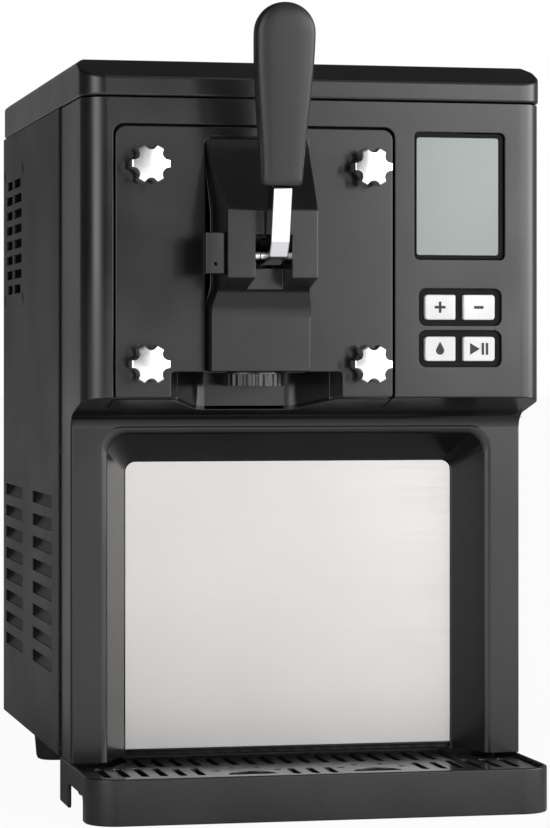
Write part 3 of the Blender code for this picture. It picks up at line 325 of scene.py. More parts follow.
def shader_of(name, colour, roughness, metallic=0.0, **settings):
    """A new material and its Principled shader."""
    material = bpy.data.materials.new(name)
    material.use_nodes = True
    shader = material.node_tree.nodes["Principled BSDF"]
    shader.inputs["Base Color"].default_value = (*colour, 1.0)
    shader.inputs["Roughness"].default_value = roughness
    shader.inputs["Metallic"].default_value = metallic
    for label, value in settings.items():
        shader.inputs[label.replace("_", " ")].default_value = value
    return material, shader


def add_node(owner, kind, **settings):
    """A node in the tree of a material or of the world."""
    node = owner.node_tree.nodes.new(kind)
    for label, value in settings.items():
        if hasattr(node, label):
            setattr(node, label, value)
        else:
            node.inputs[label.replace("_", " ")].default_value = value
    return node


def add_range(owner, from_low, from_high, to_low, to_high):
    """Maps one range smoothly onto another."""
    ends = {"From_Min": from_low, "From_Max": from_high, "To_Min": to_low, "To_Max": to_high}
    return add_node(owner, "ShaderNodeMapRange", interpolation_type="SMOOTHSTEP", **ends)


def noise(material, scale, detail=4.0, roughness=0.55, stretch=None):
    """A noise texture in object space, stretched by a scale per axis when one is given."""
    link = material.node_tree.links.new
    place = add_node(material, "ShaderNodeTexCoord")
    texture = add_node(material, "ShaderNodeTexNoise", Scale=scale, Detail=detail, Roughness=roughness)
    if stretch:
        mapping = add_node(material, "ShaderNodeMapping", Scale=stretch)
        link(place.outputs["Object"], mapping.inputs["Vector"])
        link(mapping.outputs["Vector"], texture.inputs["Vector"])
    else:
        link(place.outputs["Object"], texture.inputs["Vector"])
    return texture


def ramp_to(material, source, target, low, high):
    """Drives a shader socket with a source from 0 to 1, mapped onto low to high."""
    link = material.node_tree.links.new
    spread = add_range(material, 0.3, 0.7, low, high)
    link(source, spread.inputs["Value"])
    link(spread.outputs["Result"], target)


def tint(material, source, shader, low, high):
    """Drives the base colour between two colours."""
    link = material.node_tree.links.new
    ramp = add_node(material, "ShaderNodeValToRGB")
    ramp.color_ramp.interpolation = "EASE"
    ramp.color_ramp.elements[0].position = 0.3
    ramp.color_ramp.elements[1].position = 0.7
    ramp.color_ramp.elements[0].color = (*low, 1.0)
    ramp.color_ramp.elements[1].color = (*high, 1.0)
    link(source, ramp.inputs["Fac"])
    link(ramp.outputs["Color"], shader.inputs["Base Color"])


def bump(material, source, shader, strength, distance):
    link = material.node_tree.links.new
    node = add_node(material, "ShaderNodeBump", Strength=strength, Distance=distance)
    link(source, node.inputs["Height"])
    link(node.outputs["Normal"], shader.inputs["Normal"])


def moulded(name, colour, roughness, grain=0.25, spread=0.04, gloss=0.5):
    """Satin moulded plastic: a fine spark-eroded grain, and a broad drift of roughness from handling."""
    material, shader = shader_of(name, colour, roughness, Specular_IOR_Level=gloss)
    broad = noise(material, 14.0, 3.0).outputs["Fac"]
    ramp_to(material, broad, shader.inputs["Roughness"], roughness - spread, roughness + spread)
    lighter = [min(1.0, c * 1.15 + 0.0008) for c in colour]
    tint(material, broad, shader, [c * 0.92 for c in colour], lighter)
    bump(material, noise(material, 2600.0, 2.0, 0.5).outputs["Fac"], shader, grain, 0.00004)
    return material


def powder_coat(name, colour, roughness):
    """Painted sheet: the soft orange-peel of a powder coat."""
    material, shader = shader_of(name, colour, roughness)
    peel = noise(material, 700.0, 2.0, 0.4).outputs["Fac"]
    broad = noise(material, 9.0, 2.0).outputs["Fac"]
    ramp_to(material, broad, shader.inputs["Roughness"], roughness - 0.03, roughness + 0.05)
    tint(material, broad, shader, [c * 0.92 for c in colour], [c * 1.12 for c in colour])
    bump(material, peel, shader, 0.35, 0.00008)
    return material


def brushed(name, colour, roughness, stretch):
    """Stainless sheet with long fine scratches, stretched along one axis."""
    material, shader = shader_of(name, colour, roughness, 1.0)
    link = material.node_tree.links.new
    scratches = noise(material, 60.0, 6.0, 0.7, stretch).outputs["Fac"]
    ramp_to(material, scratches, shader.inputs["Roughness"], roughness - 0.06, roughness + 0.12)
    broad = noise(material, 7.0, 2.0)
    blend = add_node(material, "ShaderNodeMix", data_type="FLOAT")
    blend.inputs["Factor"].default_value = 0.5
    link(scratches, blend.inputs["A"])
    link(broad.outputs["Fac"], blend.inputs["B"])
    lighter = [min(1.0, c * 1.05) for c in colour]
    tint(material, blend.outputs["Result"], shader, [c * 0.93 for c in colour], lighter)
    bump(material, scratches, shader, 0.25, 0.00002)
    return material


def plated(name, colour, roughness):
    """Bright chrome with a faint haze of wiping marks."""
    material, shader = shader_of(name, colour, roughness, 1.0)
    haze = noise(material, 90.0, 4.0, 0.6)
    ramp_to(material, haze.outputs["Fac"], shader.inputs["Roughness"], roughness, roughness + 0.06)
    bump(material, noise(material, 220.0, 2.0).outputs["Fac"], shader, 0.04, 0.00005)
    return material


def plain_grain(name, colour, roughness, metallic, scale, strength, distance=0.00005):
    """Any other material: a slight variation of colour and gloss with a fine bump."""
    material, shader = shader_of(name, colour, roughness, metallic)
    texture = noise(material, scale, 3.0).outputs["Fac"]
    low, high = max(0.02, roughness - 0.06), min(1.0, roughness + 0.06)
    ramp_to(material, texture, shader.inputs["Roughness"], low, high)
    tint(material, texture, shader, [c * 0.9 for c in colour], [min(1.0, c * 1.08) for c in colour])
    bump(material, texture, shader, strength, distance)
    return material


CASING = moulded("casing_black", (0.0066, 0.0066, 0.0068), 0.20)
DOOR = moulded("door_black", (0.0066, 0.0066, 0.0068), 0.20)
LID = moulded("lid_black", (0.0066, 0.0066, 0.0068), 0.20)
GRIP = moulded("grip_black", (0.0070, 0.0070, 0.0072), 0.38, 0.3)
TRAY = moulded("tray_black", (0.0130, 0.0130, 0.0132), 0.24)
GRATE = moulded("grate_grey", (0.0160, 0.0160, 0.0163), 0.20, 0.12)
PAINT = powder_coat("paint_black", (0.0098, 0.0095, 0.0091), 0.38)
# Plain dark plastic. On the front bulkhead and on the strip under the steel sheet it is painted shade.
INNER = moulded("inner_black", (0.0050, 0.0050, 0.0052), 0.5, gloss=0.2)
# Painted shade: a near-black without sheen, darker than the other black plastics. It stands for the shade in
# the key pockets and around the display window.
SHADOW = moulded("painted_shade_black", (0.0035, 0.0035, 0.0036), 0.45, gloss=0.12)
CHROME = plated("chrome", (0.86, 0.86, 0.87), 0.07)
SATIN_CHROME = plated("satin_chrome", (0.90, 0.90, 0.91), 0.17)
STEEL = brushed("brushed_steel", (0.51, 0.499, 0.490), 0.36, (0.35, 1.0, 30.0))
HOPPER_STEEL = brushed("hopper_steel", (0.6, 0.6, 0.6), 0.3, (0.5, 10.0, 10.0))
RUBBER = plain_grain("foot_rubber", (0.012, 0.012, 0.012), 0.75, 0.0, 900.0, 0.4)
KEY = moulded("key_silver", (0.62, 0.62, 0.625), 0.26, 0.05, 0.02)
INK = plain_grain("symbol_ink", (0.012, 0.012, 0.013), 0.5, 0.0, 500.0, 0.1)
WHITE = moulded("food_white", (0.78, 0.78, 0.76), 0.38, 0.1)
COPPER = plain_grain("copper_tube", (0.72, 0.36, 0.20), 0.32, 1.0, 120.0, 0.1)
FOAM = plain_grain("foam", (0.72, 0.66, 0.48), 0.95, 0.0, 600.0, 0.8, 0.0004)
BOARD = plain_grain("board", (0.015, 0.12, 0.045), 0.42, 0.0, 300.0, 0.2)
ZINC = plain_grain("zinc_sheet", (0.5, 0.5, 0.51), 0.42, 1.0, 60.0, 0.1)
FINS = plain_grain("alloy_fins", (0.6, 0.6, 0.61), 0.35, 1.0, 200.0, 0.1)


def display_glass():
    """The switched-off display: a grey-green panel with a faint drift of colour under a clear coat."""
    coat = {"Coat_Weight": 0.3, "Coat_Roughness": 0.05}
    material, shader = shader_of("display_glass", (0.19, 0.22, 0.21), 0.2, **coat)
    broad = noise(material, 9.0, 1.0)
    tint(material, broad.outputs["Fac"], shader, (0.160, 0.187, 0.178), (0.190, 0.217, 0.208))
    return material


GLASS = display_glass()
CAD_LOOKS = (
    # The front bulkhead gets the black as painted shade, so that the seams round the door read dark.
    (INNER, ("front_bulkhead", "top_deck", "gearbox", "fan_shroud", "fan_blade")),
    (HOPPER_STEEL, ("hopper", "freezing_cylinder", "drive_shaft", *(f"door_stud_{k}" for k in range(1, 5)))),
    (WHITE, ("feed_tube", "valve_piston", "beater")),
    (RUBBER, ("door_gasket", "piston_ring_lower", "piston_ring_upper", "shaft_seal")),
    (COPPER, ("evaporator_coil", "discharge_line", "suction_line")),
    (ZINC, ("base_plate", "drive_motor", "fan_motor")),
    (BOARD, ("control_board",)),
    (FOAM, ("insulation_jacket",)),
    (PAINT, ("compressor",)),
    (FINS, ("condenser",)),
)


def dress_cad_nodes():
    for material, nodes in CAD_LOOKS:
        for node in nodes:
            mesh = frame["nodes"][node].data
            mesh.materials.clear()
            mesh.materials.append(material)


# Casing.


def plan(half_width, front, rear, radius, steps=12):
    corners = [(-half_width, back(rear), 0), (-half_width, back(front), radius)]
    corners += [(half_width, back(front), radius), (half_width, back(rear), 0)]
    return rounded(corners, steps)


def side_profile(inset, reach):
    """The casing from the side: upper front, chin, a fillet, and the lower front."""
    turn = LOWER_FRONT + inset
    corners = [
        (back(SIDE_SEAM + reach), BODY_BOTTOM - reach, 0),
        (back(SIDE_SEAM + reach), BODY_TOP + reach, 0),
        (back(inset), BODY_TOP + reach, 0),
        (back(inset), CHIN_FRONT_Z + inset + CHIN_SLOPE * inset, 0 if inset else 0.0012),
        (back(turn), CHIN_FRONT_Z + inset + CHIN_SLOPE * turn, 0.009),
        (back(turn), BODY_BOTTOM - reach, 0),
    ]
    return rounded(corners, 8)


def lower_form(half, rear, profile):
    """Everything below the chin, with upright edges whose radius runs out along the fillet."""
    skin = 0.0002
    fillet = [point for point in reversed(profile[-10:-1]) if point[1] < CHIN_BACK_Z]
    rings = [(fillet[0][0] - skin, -0.1, 0.0024)]
    for share, (y, z) in enumerate(fillet):
        rings.append((y - skin, z, 0.0024 - 0.0016 * share / len(fillet)))
    rings.append((back(0.005), CHIN_BACK_Z + 0.0002, 0.0008))
    rings.append((back(0.005), CHIN_BACK_Z + 0.0005, 0.0008))
    skins = [[(p.x, p.y, z) for p in plan(half, y - FRONT, rear, radius, 6)] for y, z, radius in rings]
    return loft("lower_form", skins)


def casing_form(name, inset, reach):
    profile = side_profile(inset, reach)
    form = prism(name, profile, "YZ", -FAR, FAR)
    half, rear = HALF_WIDTH - inset, SIDE_SEAM + reach + 0.01
    upper = prism("plan_upper", plan(half, inset, rear, CORNER - inset), "XY", CHIN_BACK_Z - 0.0012, 0.5)
    join(upper, lower_form(half, rear, profile))
    combine(form, upper, "INTERSECT")
    return form


def recess_form():
    """The funnel of the cup recess, with a rounded lip at its front opening."""
    lip = 0.005
    run = SPLASH_LOW.y - GAP - back(LOWER_FRONT)
    lean = math.atan2(RECESS_HALF - SPLASH_HIGH.x, run)
    shift = lip / math.cos(lean) - lip * math.tan(lean)
    stations = []
    for k in range(9):
        angle = (math.pi / 2 - lean) * k / 8
        depth = lip - lip * math.cos(angle)
        out = shift - lip * math.sin(angle) + depth * math.tan(lean)
        stations.append((depth, out))
    stations.insert(0, (-0.002, shift))
    stations.append((run, 0.0))
    rings = []
    for depth, out in stations:
        share = max(0.0, depth) / run
        half = RECESS_HALF + share * (SPLASH_HIGH.x - RECESS_HALF) + out
        top = RECESS_TOP + share * (SPLASH_HIGH.z - RECESS_TOP) + out
        corner = 0.0125 - 0.006 * share
        outline = rounded([(-half, 0.0, 0), (half, 0.0, 0), (half, top, corner), (-half, top, corner)], 10)
        rings.append([(p.x, back(LOWER_FRONT) + depth, p.y) for p in outline])
    return loft("recess_form", rings)


def door_outline(grow):
    low, high = DOOR_LOW.z - grow, DOOR_HIGH.z + grow
    left, right = DOOR_LOW.x - grow, DOOR_HIGH.x + grow
    return rounded([(left, low, 0.0015), (right, low, 0.0015), (right, high, 0.006), (left, high, 0.006)], 8)


def notch_form(name):
    """The opening under the spout: wide at the front, narrower at the back, with a flat ceiling."""
    corners = [(NOTCH_LEFT, -0.01, 0), (NOTCH_RIGHT, -0.01, 0), (NOTCH_RIGHT, 0.001, 0.003)]
    corners += [(-0.0078, 0.0315, 0.009), (-0.0635, 0.0315, 0.009), (NOTCH_LEFT, 0.001, 0.003)]
    corners = [(x, back(depth), radius) for x, depth, radius in corners]
    form = prism(name, rounded(corners, 8), "XY", 0.2, NOTCH_TOP)
    outline = [(NOTCH_LEFT, 0.19, 0), (NOTCH_RIGHT, 0.19, 0)]
    outline += [(NOTCH_RIGHT, NOTCH_TOP, 0.0018), (NOTCH_LEFT, NOTCH_TOP, 0.0018)]
    combine(form, prism("notch_corners", rounded(outline, 8), "XZ", back(-0.02), back(0.05)), "INTERSECT")
    return form


BUTTON_ROWS = ((0.2775, 0.2986), (0.2539, 0.2747))
BUTTON_ROW_X = (0.0598, 0.1086)
KEY_FACES = {
    "button_plus": (0.0006, -0.0002), "button_minus": (0.0010, -0.0004),
    "button_clean": (0.0006, -0.0002), "button_start": (0.0010, -0.0004),
}


def key_outline(node, grow):
    """A key's outline, grown by a margin. Its two corners at the end of the row are the rounder ones."""
    low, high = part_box(node)
    left_shift, right_shift = KEY_FACES[node]
    left, right = low.x + left_shift - grow, high.x + right_shift + grow
    bottom, top = low.z - grow, high.z + grow
    first, last = (0.0019, 0.0008) if left < 0.07 else (0.0008, 0.0019)
    return rounded([(left, bottom, first), (right, bottom, last), (right, top, last), (left, top, first)], 8)


def pill_outline(low, high, grow):
    return rectangle(BUTTON_ROW_X[0] - grow, low - grow, BUTTON_ROW_X[1] + grow, high + grow, 0.0042 + grow)


def key_surround():
    """The matt floor of each row's pocket, with an opening per key. Its near-black is painted shade for the
    pocket's depth.
    """
    for index, (low, high) in enumerate(BUTTON_ROWS):
        outline = pill_outline(low, high, -0.0001)
        floor = prism(f"key_floor_{index}", outline, "XZ", back(0.0020), back(0.0028))
        for node in KEY_FACES:
            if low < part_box(node)[0].z < high:
                cut(floor, prism("key_gap", key_outline(node, 0.0003), "XZ", back(-0.01), back(0.01)))
        smooth(floor)
        show(floor, SHADOW, "chassis", "inner_plastic")


def notch_liner():
    """The wall behind the notch under the spout. It stands just inside the casing and the door."""
    left, right, rear = -0.0875, 0.0190, back(0.0345)
    sill = DOOR_LOW.z - 0.0014
    liner = box("notch_wall", (left, back(WALL + GAP), 0.2200), (right, rear, sill))
    join(liner, box("notch_wall_top", (left, back(0.0085), sill - 0.001), (right, rear, NOTCH_TOP + 0.0030)))
    cut(liner, notch_form("notch_room"))
    combine(liner, prism("chin_limit", side_profile(GAP, 0.02), "YZ", -FAR, FAR), "INTERSECT")
    smooth(liner)
    show(liner, CASING, "chassis", "casing_plastic")


def casing():
    """The front moulding: a shell with the recess, the notch, and the openings for door, display and keys."""
    shell = casing_form("casing_shell", 0.0, 0.0)
    inside = casing_form("casing_inside", WALL, 0.02)
    cut(shell, inside)
    liner_low = (-0.120, back(LOWER_FRONT + 0.001), BODY_BOTTOM + 0.0005)
    liner = box("recess_liner", liner_low, (0.120, SPLASH_LOW.y + 0.0042, 0.2215))
    join(shell, liner)
    cut(shell, recess_form(), notch_form("notch"))
    low, right = (SPLASH_LOW.x - 0.0005, SPLASH_LOW.y - 0.001, 0.0), SPLASH_HIGH.x + 0.0005
    cut(shell, box("splash_pocket", low, (right, SPLASH_HIGH.y + GAP, SPLASH_HIGH.z + 0.0005)))
    cut(shell, box("splash_shadow", low, (right, SPLASH_LOW.y + 0.0034, SPLASH_LOW.z - GAP)))
    cut(shell, prism("door_gap", door_outline(0.0012), "XZ", back(-0.01), back(0.0083)))
    display = rectangle(0.0572, 0.3152, 0.1107, 0.3879, 0.003)
    cut(shell, prism("display_gap", display, "XZ", back(-0.01), back(0.0045)))
    for low, high in BUTTON_ROWS:
        cut(shell, prism("key_pocket", pill_outline(low, high, 0.0), "XZ", back(-0.01), back(0.0045)))
    groove = [(back(d), CHIN_FRONT_Z + CHIN_SLOPE * d + 0.0012) for d in (-0.002, 0.030)]
    groove += [(back(d), 0.21) for d in (0.030, -0.002)]
    for x in (DOOR_LOW.x - 0.0012, DOOR_HIGH.x):
        cut(shell, prism("chin_seam", groove, "YZ", x, x + 0.0010))
    soften(shell, 0.0005, 2, 32)
    show(shell, CASING, "chassis", "casing_plastic", "front_frame")


def lid():
    """Top cover: a steep front face, a long shallow bevel behind it, and narrow side bevels."""
    low, high, half = LID_LOW.z, LID_HIGH.z, LID_HIGH.x
    rear = LID_HIGH.y - FRONT
    cover = prism("lid_cover", plan(half, 0.0, rear, CORNER), "XY", low, high)
    drop, run = 0.0117, 0.030
    slope = drop / run
    wedge = [(back(-0.02), high - drop - 0.02 * slope), (back(0.05), high - drop + 0.05 * slope)]
    wedge += [(back(0.05), high + 0.05), (back(-0.02), high + 0.05)]
    cut(cover, prism("front_bevel", wedge, "YZ", -FAR, FAR))
    for side in (-1, 1):
        points = [(side * (half + 0.003), high - 0.0058), (side * (half - 0.0097), high + 0.0041)]
        points.append((side * (half + 0.003), high + 0.0041))
        cut(cover, prism("side_bevel", points, "XZ", back(-0.02), back(rear + 0.02)))
    outline = plan(half - WALL, WALL, rear - WALL, CORNER - WALL)
    inside = prism("lid_hollow", outline, "XY", low - 0.02, high - WALL)
    points = [(p[0], p[1] - WALL) for p in wedge]
    cut(inside, prism("lid_hollow_bevel", points, "YZ", -FAR, FAR))
    cut(cover, inside)
    soften(cover, 0.0016, 4, 12)
    show(cover, LID, "lid", "casing_plastic", "lid")


def splash_panel():
    """The brushed sheet, and a dark strip under it that hides the front edge of the base plate. The strip is
    painted shade for the gap below the sheet.
    """
    panel = box("splash_sheet", SPLASH_LOW, SPLASH_HIGH)
    left, right, low, high = SPLASH_LOW.x, SPLASH_HIGH.x, SPLASH_LOW.z + 0.0012, SPLASH_HIGH.z
    outline = rounded([(left, low, 0), (right, low, 0), (right, high, 0.006), (left, high, 0.006)], 8)
    combine(panel, prism("splash_outline", outline, "XZ", back(0), back(0.2)), "INTERSECT")
    soften(panel, 0.0002, 1)
    show(panel, STEEL, "chassis", "brushed_steel", "splash_panel")
    # Painted shade: a black strip that stands for the shade in the gap below the steel sheet.
    shade_strip_low = (SPLASH_LOW.x, back(0.0754), TRAY_HIGH.z + GAP)
    sill = box("painted_shade_strip", shade_strip_low, (SPLASH_HIGH.x, back(0.0763), BODY_BOTTOM + 0.0004))
    show(sill, INNER, "chassis", "inner_plastic")


# Side and rear panels.

UPPER_ROWS, UPPER_TOP_Z, UPPER_PITCH = 8, 0.3722, 0.0097
UPPER_COLUMNS = ((0.253, 0.289), (0.297, 0.326))
LOWER_ROWS, LOWER_TOP_Z, LOWER_PITCH = 8, 0.1740, 0.0140
LOWER_COLUMNS = ((0.116, 0.200), (0.247, 0.330))
LOUVRE_HALF = 0.0035


def side_panel(name, side, node):
    """A sheet with a block of slots high at the back, and pressed-in louvres low down."""
    outer = side * PANEL_HALF
    inner = side * (PANEL_HALF - SHEET)
    low_x, high_x = sorted((inner, outer))
    sheet = box(name, (low_x, back(SIDE_SEAM + 0.0005), BODY_BOTTOM), (high_x, back(DEPTH), BODY_TOP))
    openings = []
    for first, last in UPPER_COLUMNS:
        for row in range(UPPER_ROWS):
            z = UPPER_TOP_Z - UPPER_PITCH * row
            shorten = 0.005 if row in (0, UPPER_ROWS - 1) else 0.0
            start = first + shorten if first == UPPER_COLUMNS[0][0] else first
            end = last - shorten if last == UPPER_COLUMNS[1][1] else last
            openings.append((start, end, z - 0.0028, z + 0.0028, 0.0008))
    for first, last in LOWER_COLUMNS:
        for row in range(LOWER_ROWS):
            z = LOWER_TOP_Z - LOWER_PITCH * row
            openings.append((first, last, z - LOUVRE_HALF, z + LOUVRE_HALF, 0.0012))
    for first, last, low, high, radius in openings:
        outline = rectangle(back(first), low, back(last), high, radius, 4)
        cut(sheet, prism("slot", outline, "YZ", low_x - 0.01, high_x + 0.01))
    for depth, bulge in ((0.2525, -1), (0.3275, 1)):
        for z in (0.3800, 0.2975):
            cut(sheet, crescent("crescent", depth, bulge, z, low_x - 0.01, high_x + 0.01))
    soften(sheet, 0.0003, 1)
    show(sheet, PAINT, "chassis", "painted_sheet", node)
    hoods = bmesh.new()
    for first, last in LOWER_COLUMNS:
        for row in range(LOWER_ROWS):
            add_louvre(hoods, side, first, last, LOWER_TOP_Z - LOWER_PITCH * row)
    louvres = mesh_of(hoods, name + "_louvres")
    smooth(louvres, 50, False)
    show(louvres, PAINT, "chassis", "painted_sheet")


def crescent(name, depth, bulge, z, start, end):
    """A curved slit beside a corner of the block of slots, bulging forward (-1) or back (1)."""
    half, rise, width, steps = 0.0046, 0.0050, 0.0032, 12
    near, far = [], []
    for k in range(steps + 1):
        t = 2 * k / steps - 1
        bow = 1 - t * t
        near.append((back(depth + bulge * rise * bow), z + half * t))
        far.append((back(depth + bulge * (rise * bow + width * bow + 0.0006)), z + half * t))
    return prism(name, near + list(reversed(far)), "YZ", start, end)


def add_louvre(shape, side, first, last, z):
    """A hood pressed inwards behind one opening: flush along its lower edge, deepest at its open top."""
    inward, thick, edge = 0.0038, 0.0007, 0.0008
    along, up = 20, 8
    skins = []
    for layer in (0, 1):
        skin = []
        for k in range(along + 1):
            t = k / along
            end = min(t, 1 - t) * (last - first + 0.003) / 0.0055
            plateau = math.sin(min(1.0, end) * math.pi / 2) ** 0.7
            row = []
            for m in range(up + 1):
                rise = math.sin(math.pi / 2 * m / up)
                sink = inward * plateau * rise + layer * thick
                x = side * (PANEL_HALF - 0.0009 - sink)
                depth = first - 0.0015 + t * (last - first + 0.003)
                height = z - LOUVRE_HALF - edge + (2 * LOUVRE_HALF + 1.6 * edge) * m / up
                row.append(shape.verts.new((x, back(depth), height)))
            skin.append(row)
        skins.append(skin)
    for skin in skins:
        for k in range(along):
            for m in range(up):
                shape.faces.new((skin[k][m], skin[k + 1][m], skin[k + 1][m + 1], skin[k][m + 1]))
    front, behind = skins
    rim = [(k, 0) for k in range(along)] + [(along, m) for m in range(up)]
    rim += [(k, up) for k in range(along, 0, -1)] + [(0, m) for m in range(up, 0, -1)]
    for (k, m), (k_next, m_next) in zip(rim, rim[1:] + rim[:1]):
        shape.faces.new((front[k][m], front[k_next][m_next], behind[k_next][m_next], behind[k][m]))


def rear_panel():
    """Flat sheet with two columns of vents, and openings for the inlet and the switch."""
    sheet = box("rear_sheet", REAR_LOW, REAR_HIGH)
    start, end = REAR_LOW.y - 0.01, REAR_HIGH.y + 0.01
    cut(sheet, box("inlet_gap", (-0.1012, start, 0.0488), (-0.0728, end, 0.0692)))
    cut(sheet, box("switch_gap", (-0.0572, start, 0.0484), (-0.0418, end, 0.0696)))
    for row in range(10):
        z = 0.110 + 0.012 * row
        for first in (-0.062, 0.006):
            outline = rectangle(first, z - 0.0025, first + 0.056, z + 0.0025, 0.0024, 5)
            cut(sheet, prism("rear_vent", outline, "XZ", start, end))
    soften(sheet, 0.0003, 1)
    show(sheet, PAINT, "chassis", "painted_sheet", "rear_panel")


# Cylinder door, knobs and lever.

SPOUT_TOP_Z = 0.3835
BRACKET_TOP_Z = 0.3403
BRACKET_LOW_Z = 0.3027
BRACKET_DEPTH = -0.045
BLOCK_DEPTH = -0.013
BLOCK_TOP_Z = 0.285
BLOCK_LOW_Z = 0.2513


def spout_side():
    corners = [(0.004, BLOCK_LOW_Z, 0), (BLOCK_DEPTH, BLOCK_LOW_Z, 0), (BLOCK_DEPTH, BLOCK_TOP_Z, 0.012)]
    corners += [(-0.0205, 0.2967, 0.006), (BRACKET_DEPTH, BRACKET_LOW_Z, 0)]
    corners += [(BRACKET_DEPTH, BRACKET_TOP_Z, 0), (0.0015, SPOUT_TOP_Z, 0), (0.004, SPOUT_TOP_Z, 0)]
    return rounded([(back(d), z, r) for d, z, r in corners], 8)


def spout_front():
    half = [(0.0283, BLOCK_LOW_Z, 0), (0.0283, 0.2880, 0.012), (0.0254, 0.2995, 0.010)]
    half += [(0.0254, BRACKET_TOP_Z, 0), (0.0298, SPOUT_TOP_Z, 0)]
    right = [(SPOUT_X + x, z, r) for x, z, r in half]
    left = [(SPOUT_X - x, z, r) for x, z, r in reversed(half)]
    return rounded(right + left, 8)


def lever_cavity():
    points = [(-0.050, 0.285), (-0.0215, 0.285), (-0.0215, 0.309), (0.002, 0.309), (0.002, 0.3535)]
    points += [(-0.012, 0.3535), (-0.036, 0.3385), (-0.036, 0.3266), (-0.050, 0.3266)]
    outline = [(back(d), z) for d, z in points]
    return prism("lever_cavity", outline, "YZ", SLOT_X - SLOT_HALF, SLOT_X + SLOT_HALF)


def knob_places():
    """The number and the middle of each star knob."""
    return [(index, sum(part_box(f"star_knob_{index}"), Vector()) / 2) for index in range(1, 5)]


def door():
    """The plate with a shallow bed for the spout, the spout with its cheeks, and the bored boss behind."""
    plate = prism("door_plate", door_outline(0.0), "XZ", back(0.0), back(0.008))
    left, right = -0.0642, -0.0056
    bed = [(left, 0.24, 0), (right, 0.24, 0), (right, SPOUT_TOP_Z, 0.003), (left, SPOUT_TOP_Z, 0.004)]
    cut(plate, prism("spout_bed", rounded(bed, 8), "XZ", back(-0.01), back(0.0034)))
    spout = prism("spout", spout_side(), "YZ", SPOUT_X - 0.0303, SPOUT_X + 0.0303)
    combine(spout, prism("spout_face", spout_front(), "XZ", back(-0.07), back(0.02)), "INTERSECT")
    boss_low = (SPOUT_X - 0.019, back(0.001), BLOCK_LOW_Z)
    boss = box("door_boss", boss_low, (SPOUT_X + 0.019, back(0.029), 0.362))
    disc = cylinder("door_disc", (SPOUT_X, back(0.018), 0.302), "Y", 0.022, 0.042)
    join(plate, spout, boss, disc)
    cut(plate, cylinder("valve_bore", (SPOUT_X, back(VALVE_DEPTH), 0.2995), "Z", 0.119, 0.01335))
    cut(plate, lever_cavity())
    passage = ((SPOUT_X - 0.006, back(0.020), 0.268), (SPOUT_X + 0.006, back(0.035), 0.284))
    cut(plate, box("product_passage", *passage))
    cut(plate, cylinder("pin_hole", (SPOUT_X - 0.001, PIN.y, PIN.z), "X", 0.0565, 0.0033, 32))
    for _, middle in knob_places():
        cut(plate, cylinder("stud_hole", (middle.x, back(0.003), middle.z), "Y", 0.03, 0.0035, 32))
    cut(plate, notch_form("door_notch"))
    clean(plate)
    round_front(plate, 0.0007, 3, 30, 0.0070)
    cut(plate, cylinder("slot_dimple", (-0.0335, back(-0.0216), 0.3030), "Y", 0.0012, 0.0007, 24))
    smooth(plate)
    show(plate, DOOR, "door", "door_plastic", "cylinder_door")


def knob_outline(middle, scale, depth):
    """Six lobes with flat ends and softened corners, parted by round scallops."""
    reach, radius, flat, steps = 0.01233, 0.00393, 0.01117, 40
    points = []
    for i in range(6 * steps):
        angle = 2 * math.pi * i / (6 * steps)
        off_lobe = (angle + math.pi / 6) % (math.pi / 3) - math.pi / 6
        lobe = flat / math.cos(off_lobe)
        off_scallop = math.pi / 6 - abs(off_lobe)
        inside = radius**2 - (reach * math.sin(off_scallop)) ** 2
        if inside > 0:
            scallop = reach * math.cos(off_scallop) - math.sqrt(inside)
            soft = 0.00035
            blend = max(0.0, soft - abs(lobe - scallop)) ** 2 / (4 * soft)
            lobe = min(lobe, scallop) - blend
        reach_out = lobe * scale + (1 - scale) * -0.0006
        x, z = middle.x + reach_out * math.cos(angle), middle.z + reach_out * math.sin(angle)
        points.append((x, back(depth), z))
    return points


def crowned(points, middle, depth, crown):
    """Bends a ring of points back by a dome's fall at their distance from the knob's axis."""
    bent = []
    for x, _, z in points:
        reach = (x - middle.x) ** 2 + (z - middle.z) ** 2
        bent.append((x, back(depth) + reach / (2 * crown), z))
    return bent


def star_knob(index, middle):
    """Plated knob with a rounded rim, a gently domed face and a round stem."""
    levels = [(-0.0066, 0.92), (-0.0071, 0.975), (-0.0080, 1.0)]
    levels += [(-0.0172, 1.0), (-0.0182, 0.988), (-0.0187, 0.962)]
    rings = [knob_outline(middle, scale, depth) for depth, scale in levels]
    for scale in (0.93, 0.86, 0.74, 0.58, 0.40, 0.22, 0.06):
        rings.append(crowned(knob_outline(middle, scale, 0.0), middle, -0.0195, 0.105))
    knob = loft(f"knob_{index}", rings)
    profile = [(0.0, 0.0100), (0.0065, 0.0100), (0.0065, 0.0008), (0.0060, 0.0003), (0.0, 0.0003)]
    stem = turned("knob_stem", profile, (middle.x, back(-0.0103), middle.z), "Y", 48)
    join(knob, stem)
    cut(knob, cylinder("knob_bore", (middle.x, back(-0.005), middle.z), "Y", 0.022, 0.0033, 32))
    smooth(knob, 50, False)
    show(knob, SATIN_CHROME, f"star_knob_{index}", "chrome", f"star_knob_{index}")


def pivot_pin():
    """Bright pin, and the black block on its left end with a small ejector mark."""
    pin = cylinder("pin_rod", (-0.0370, PIN.y, PIN.z), "X", 0.0476, 0.003, 32)
    smooth(pin)
    show(pin, CHROME, "door", "chrome", "pivot_pin")
    low = (-0.0714, PIN.y - 0.0095, 0.3050)
    head = box("pin_head", low, (-0.0606, PIN.y + 0.0010, 0.3280))
    dimple = (-0.0660, PIN.y - 0.0097, 0.3105)
    cut(head, cylinder("pin_dimple", dimple, "Y", 0.0012, 0.0006, 24))
    bevel(head, 0.0008, 3)
    smooth(head)
    show(head, DOOR, "door", "pin_plastic")


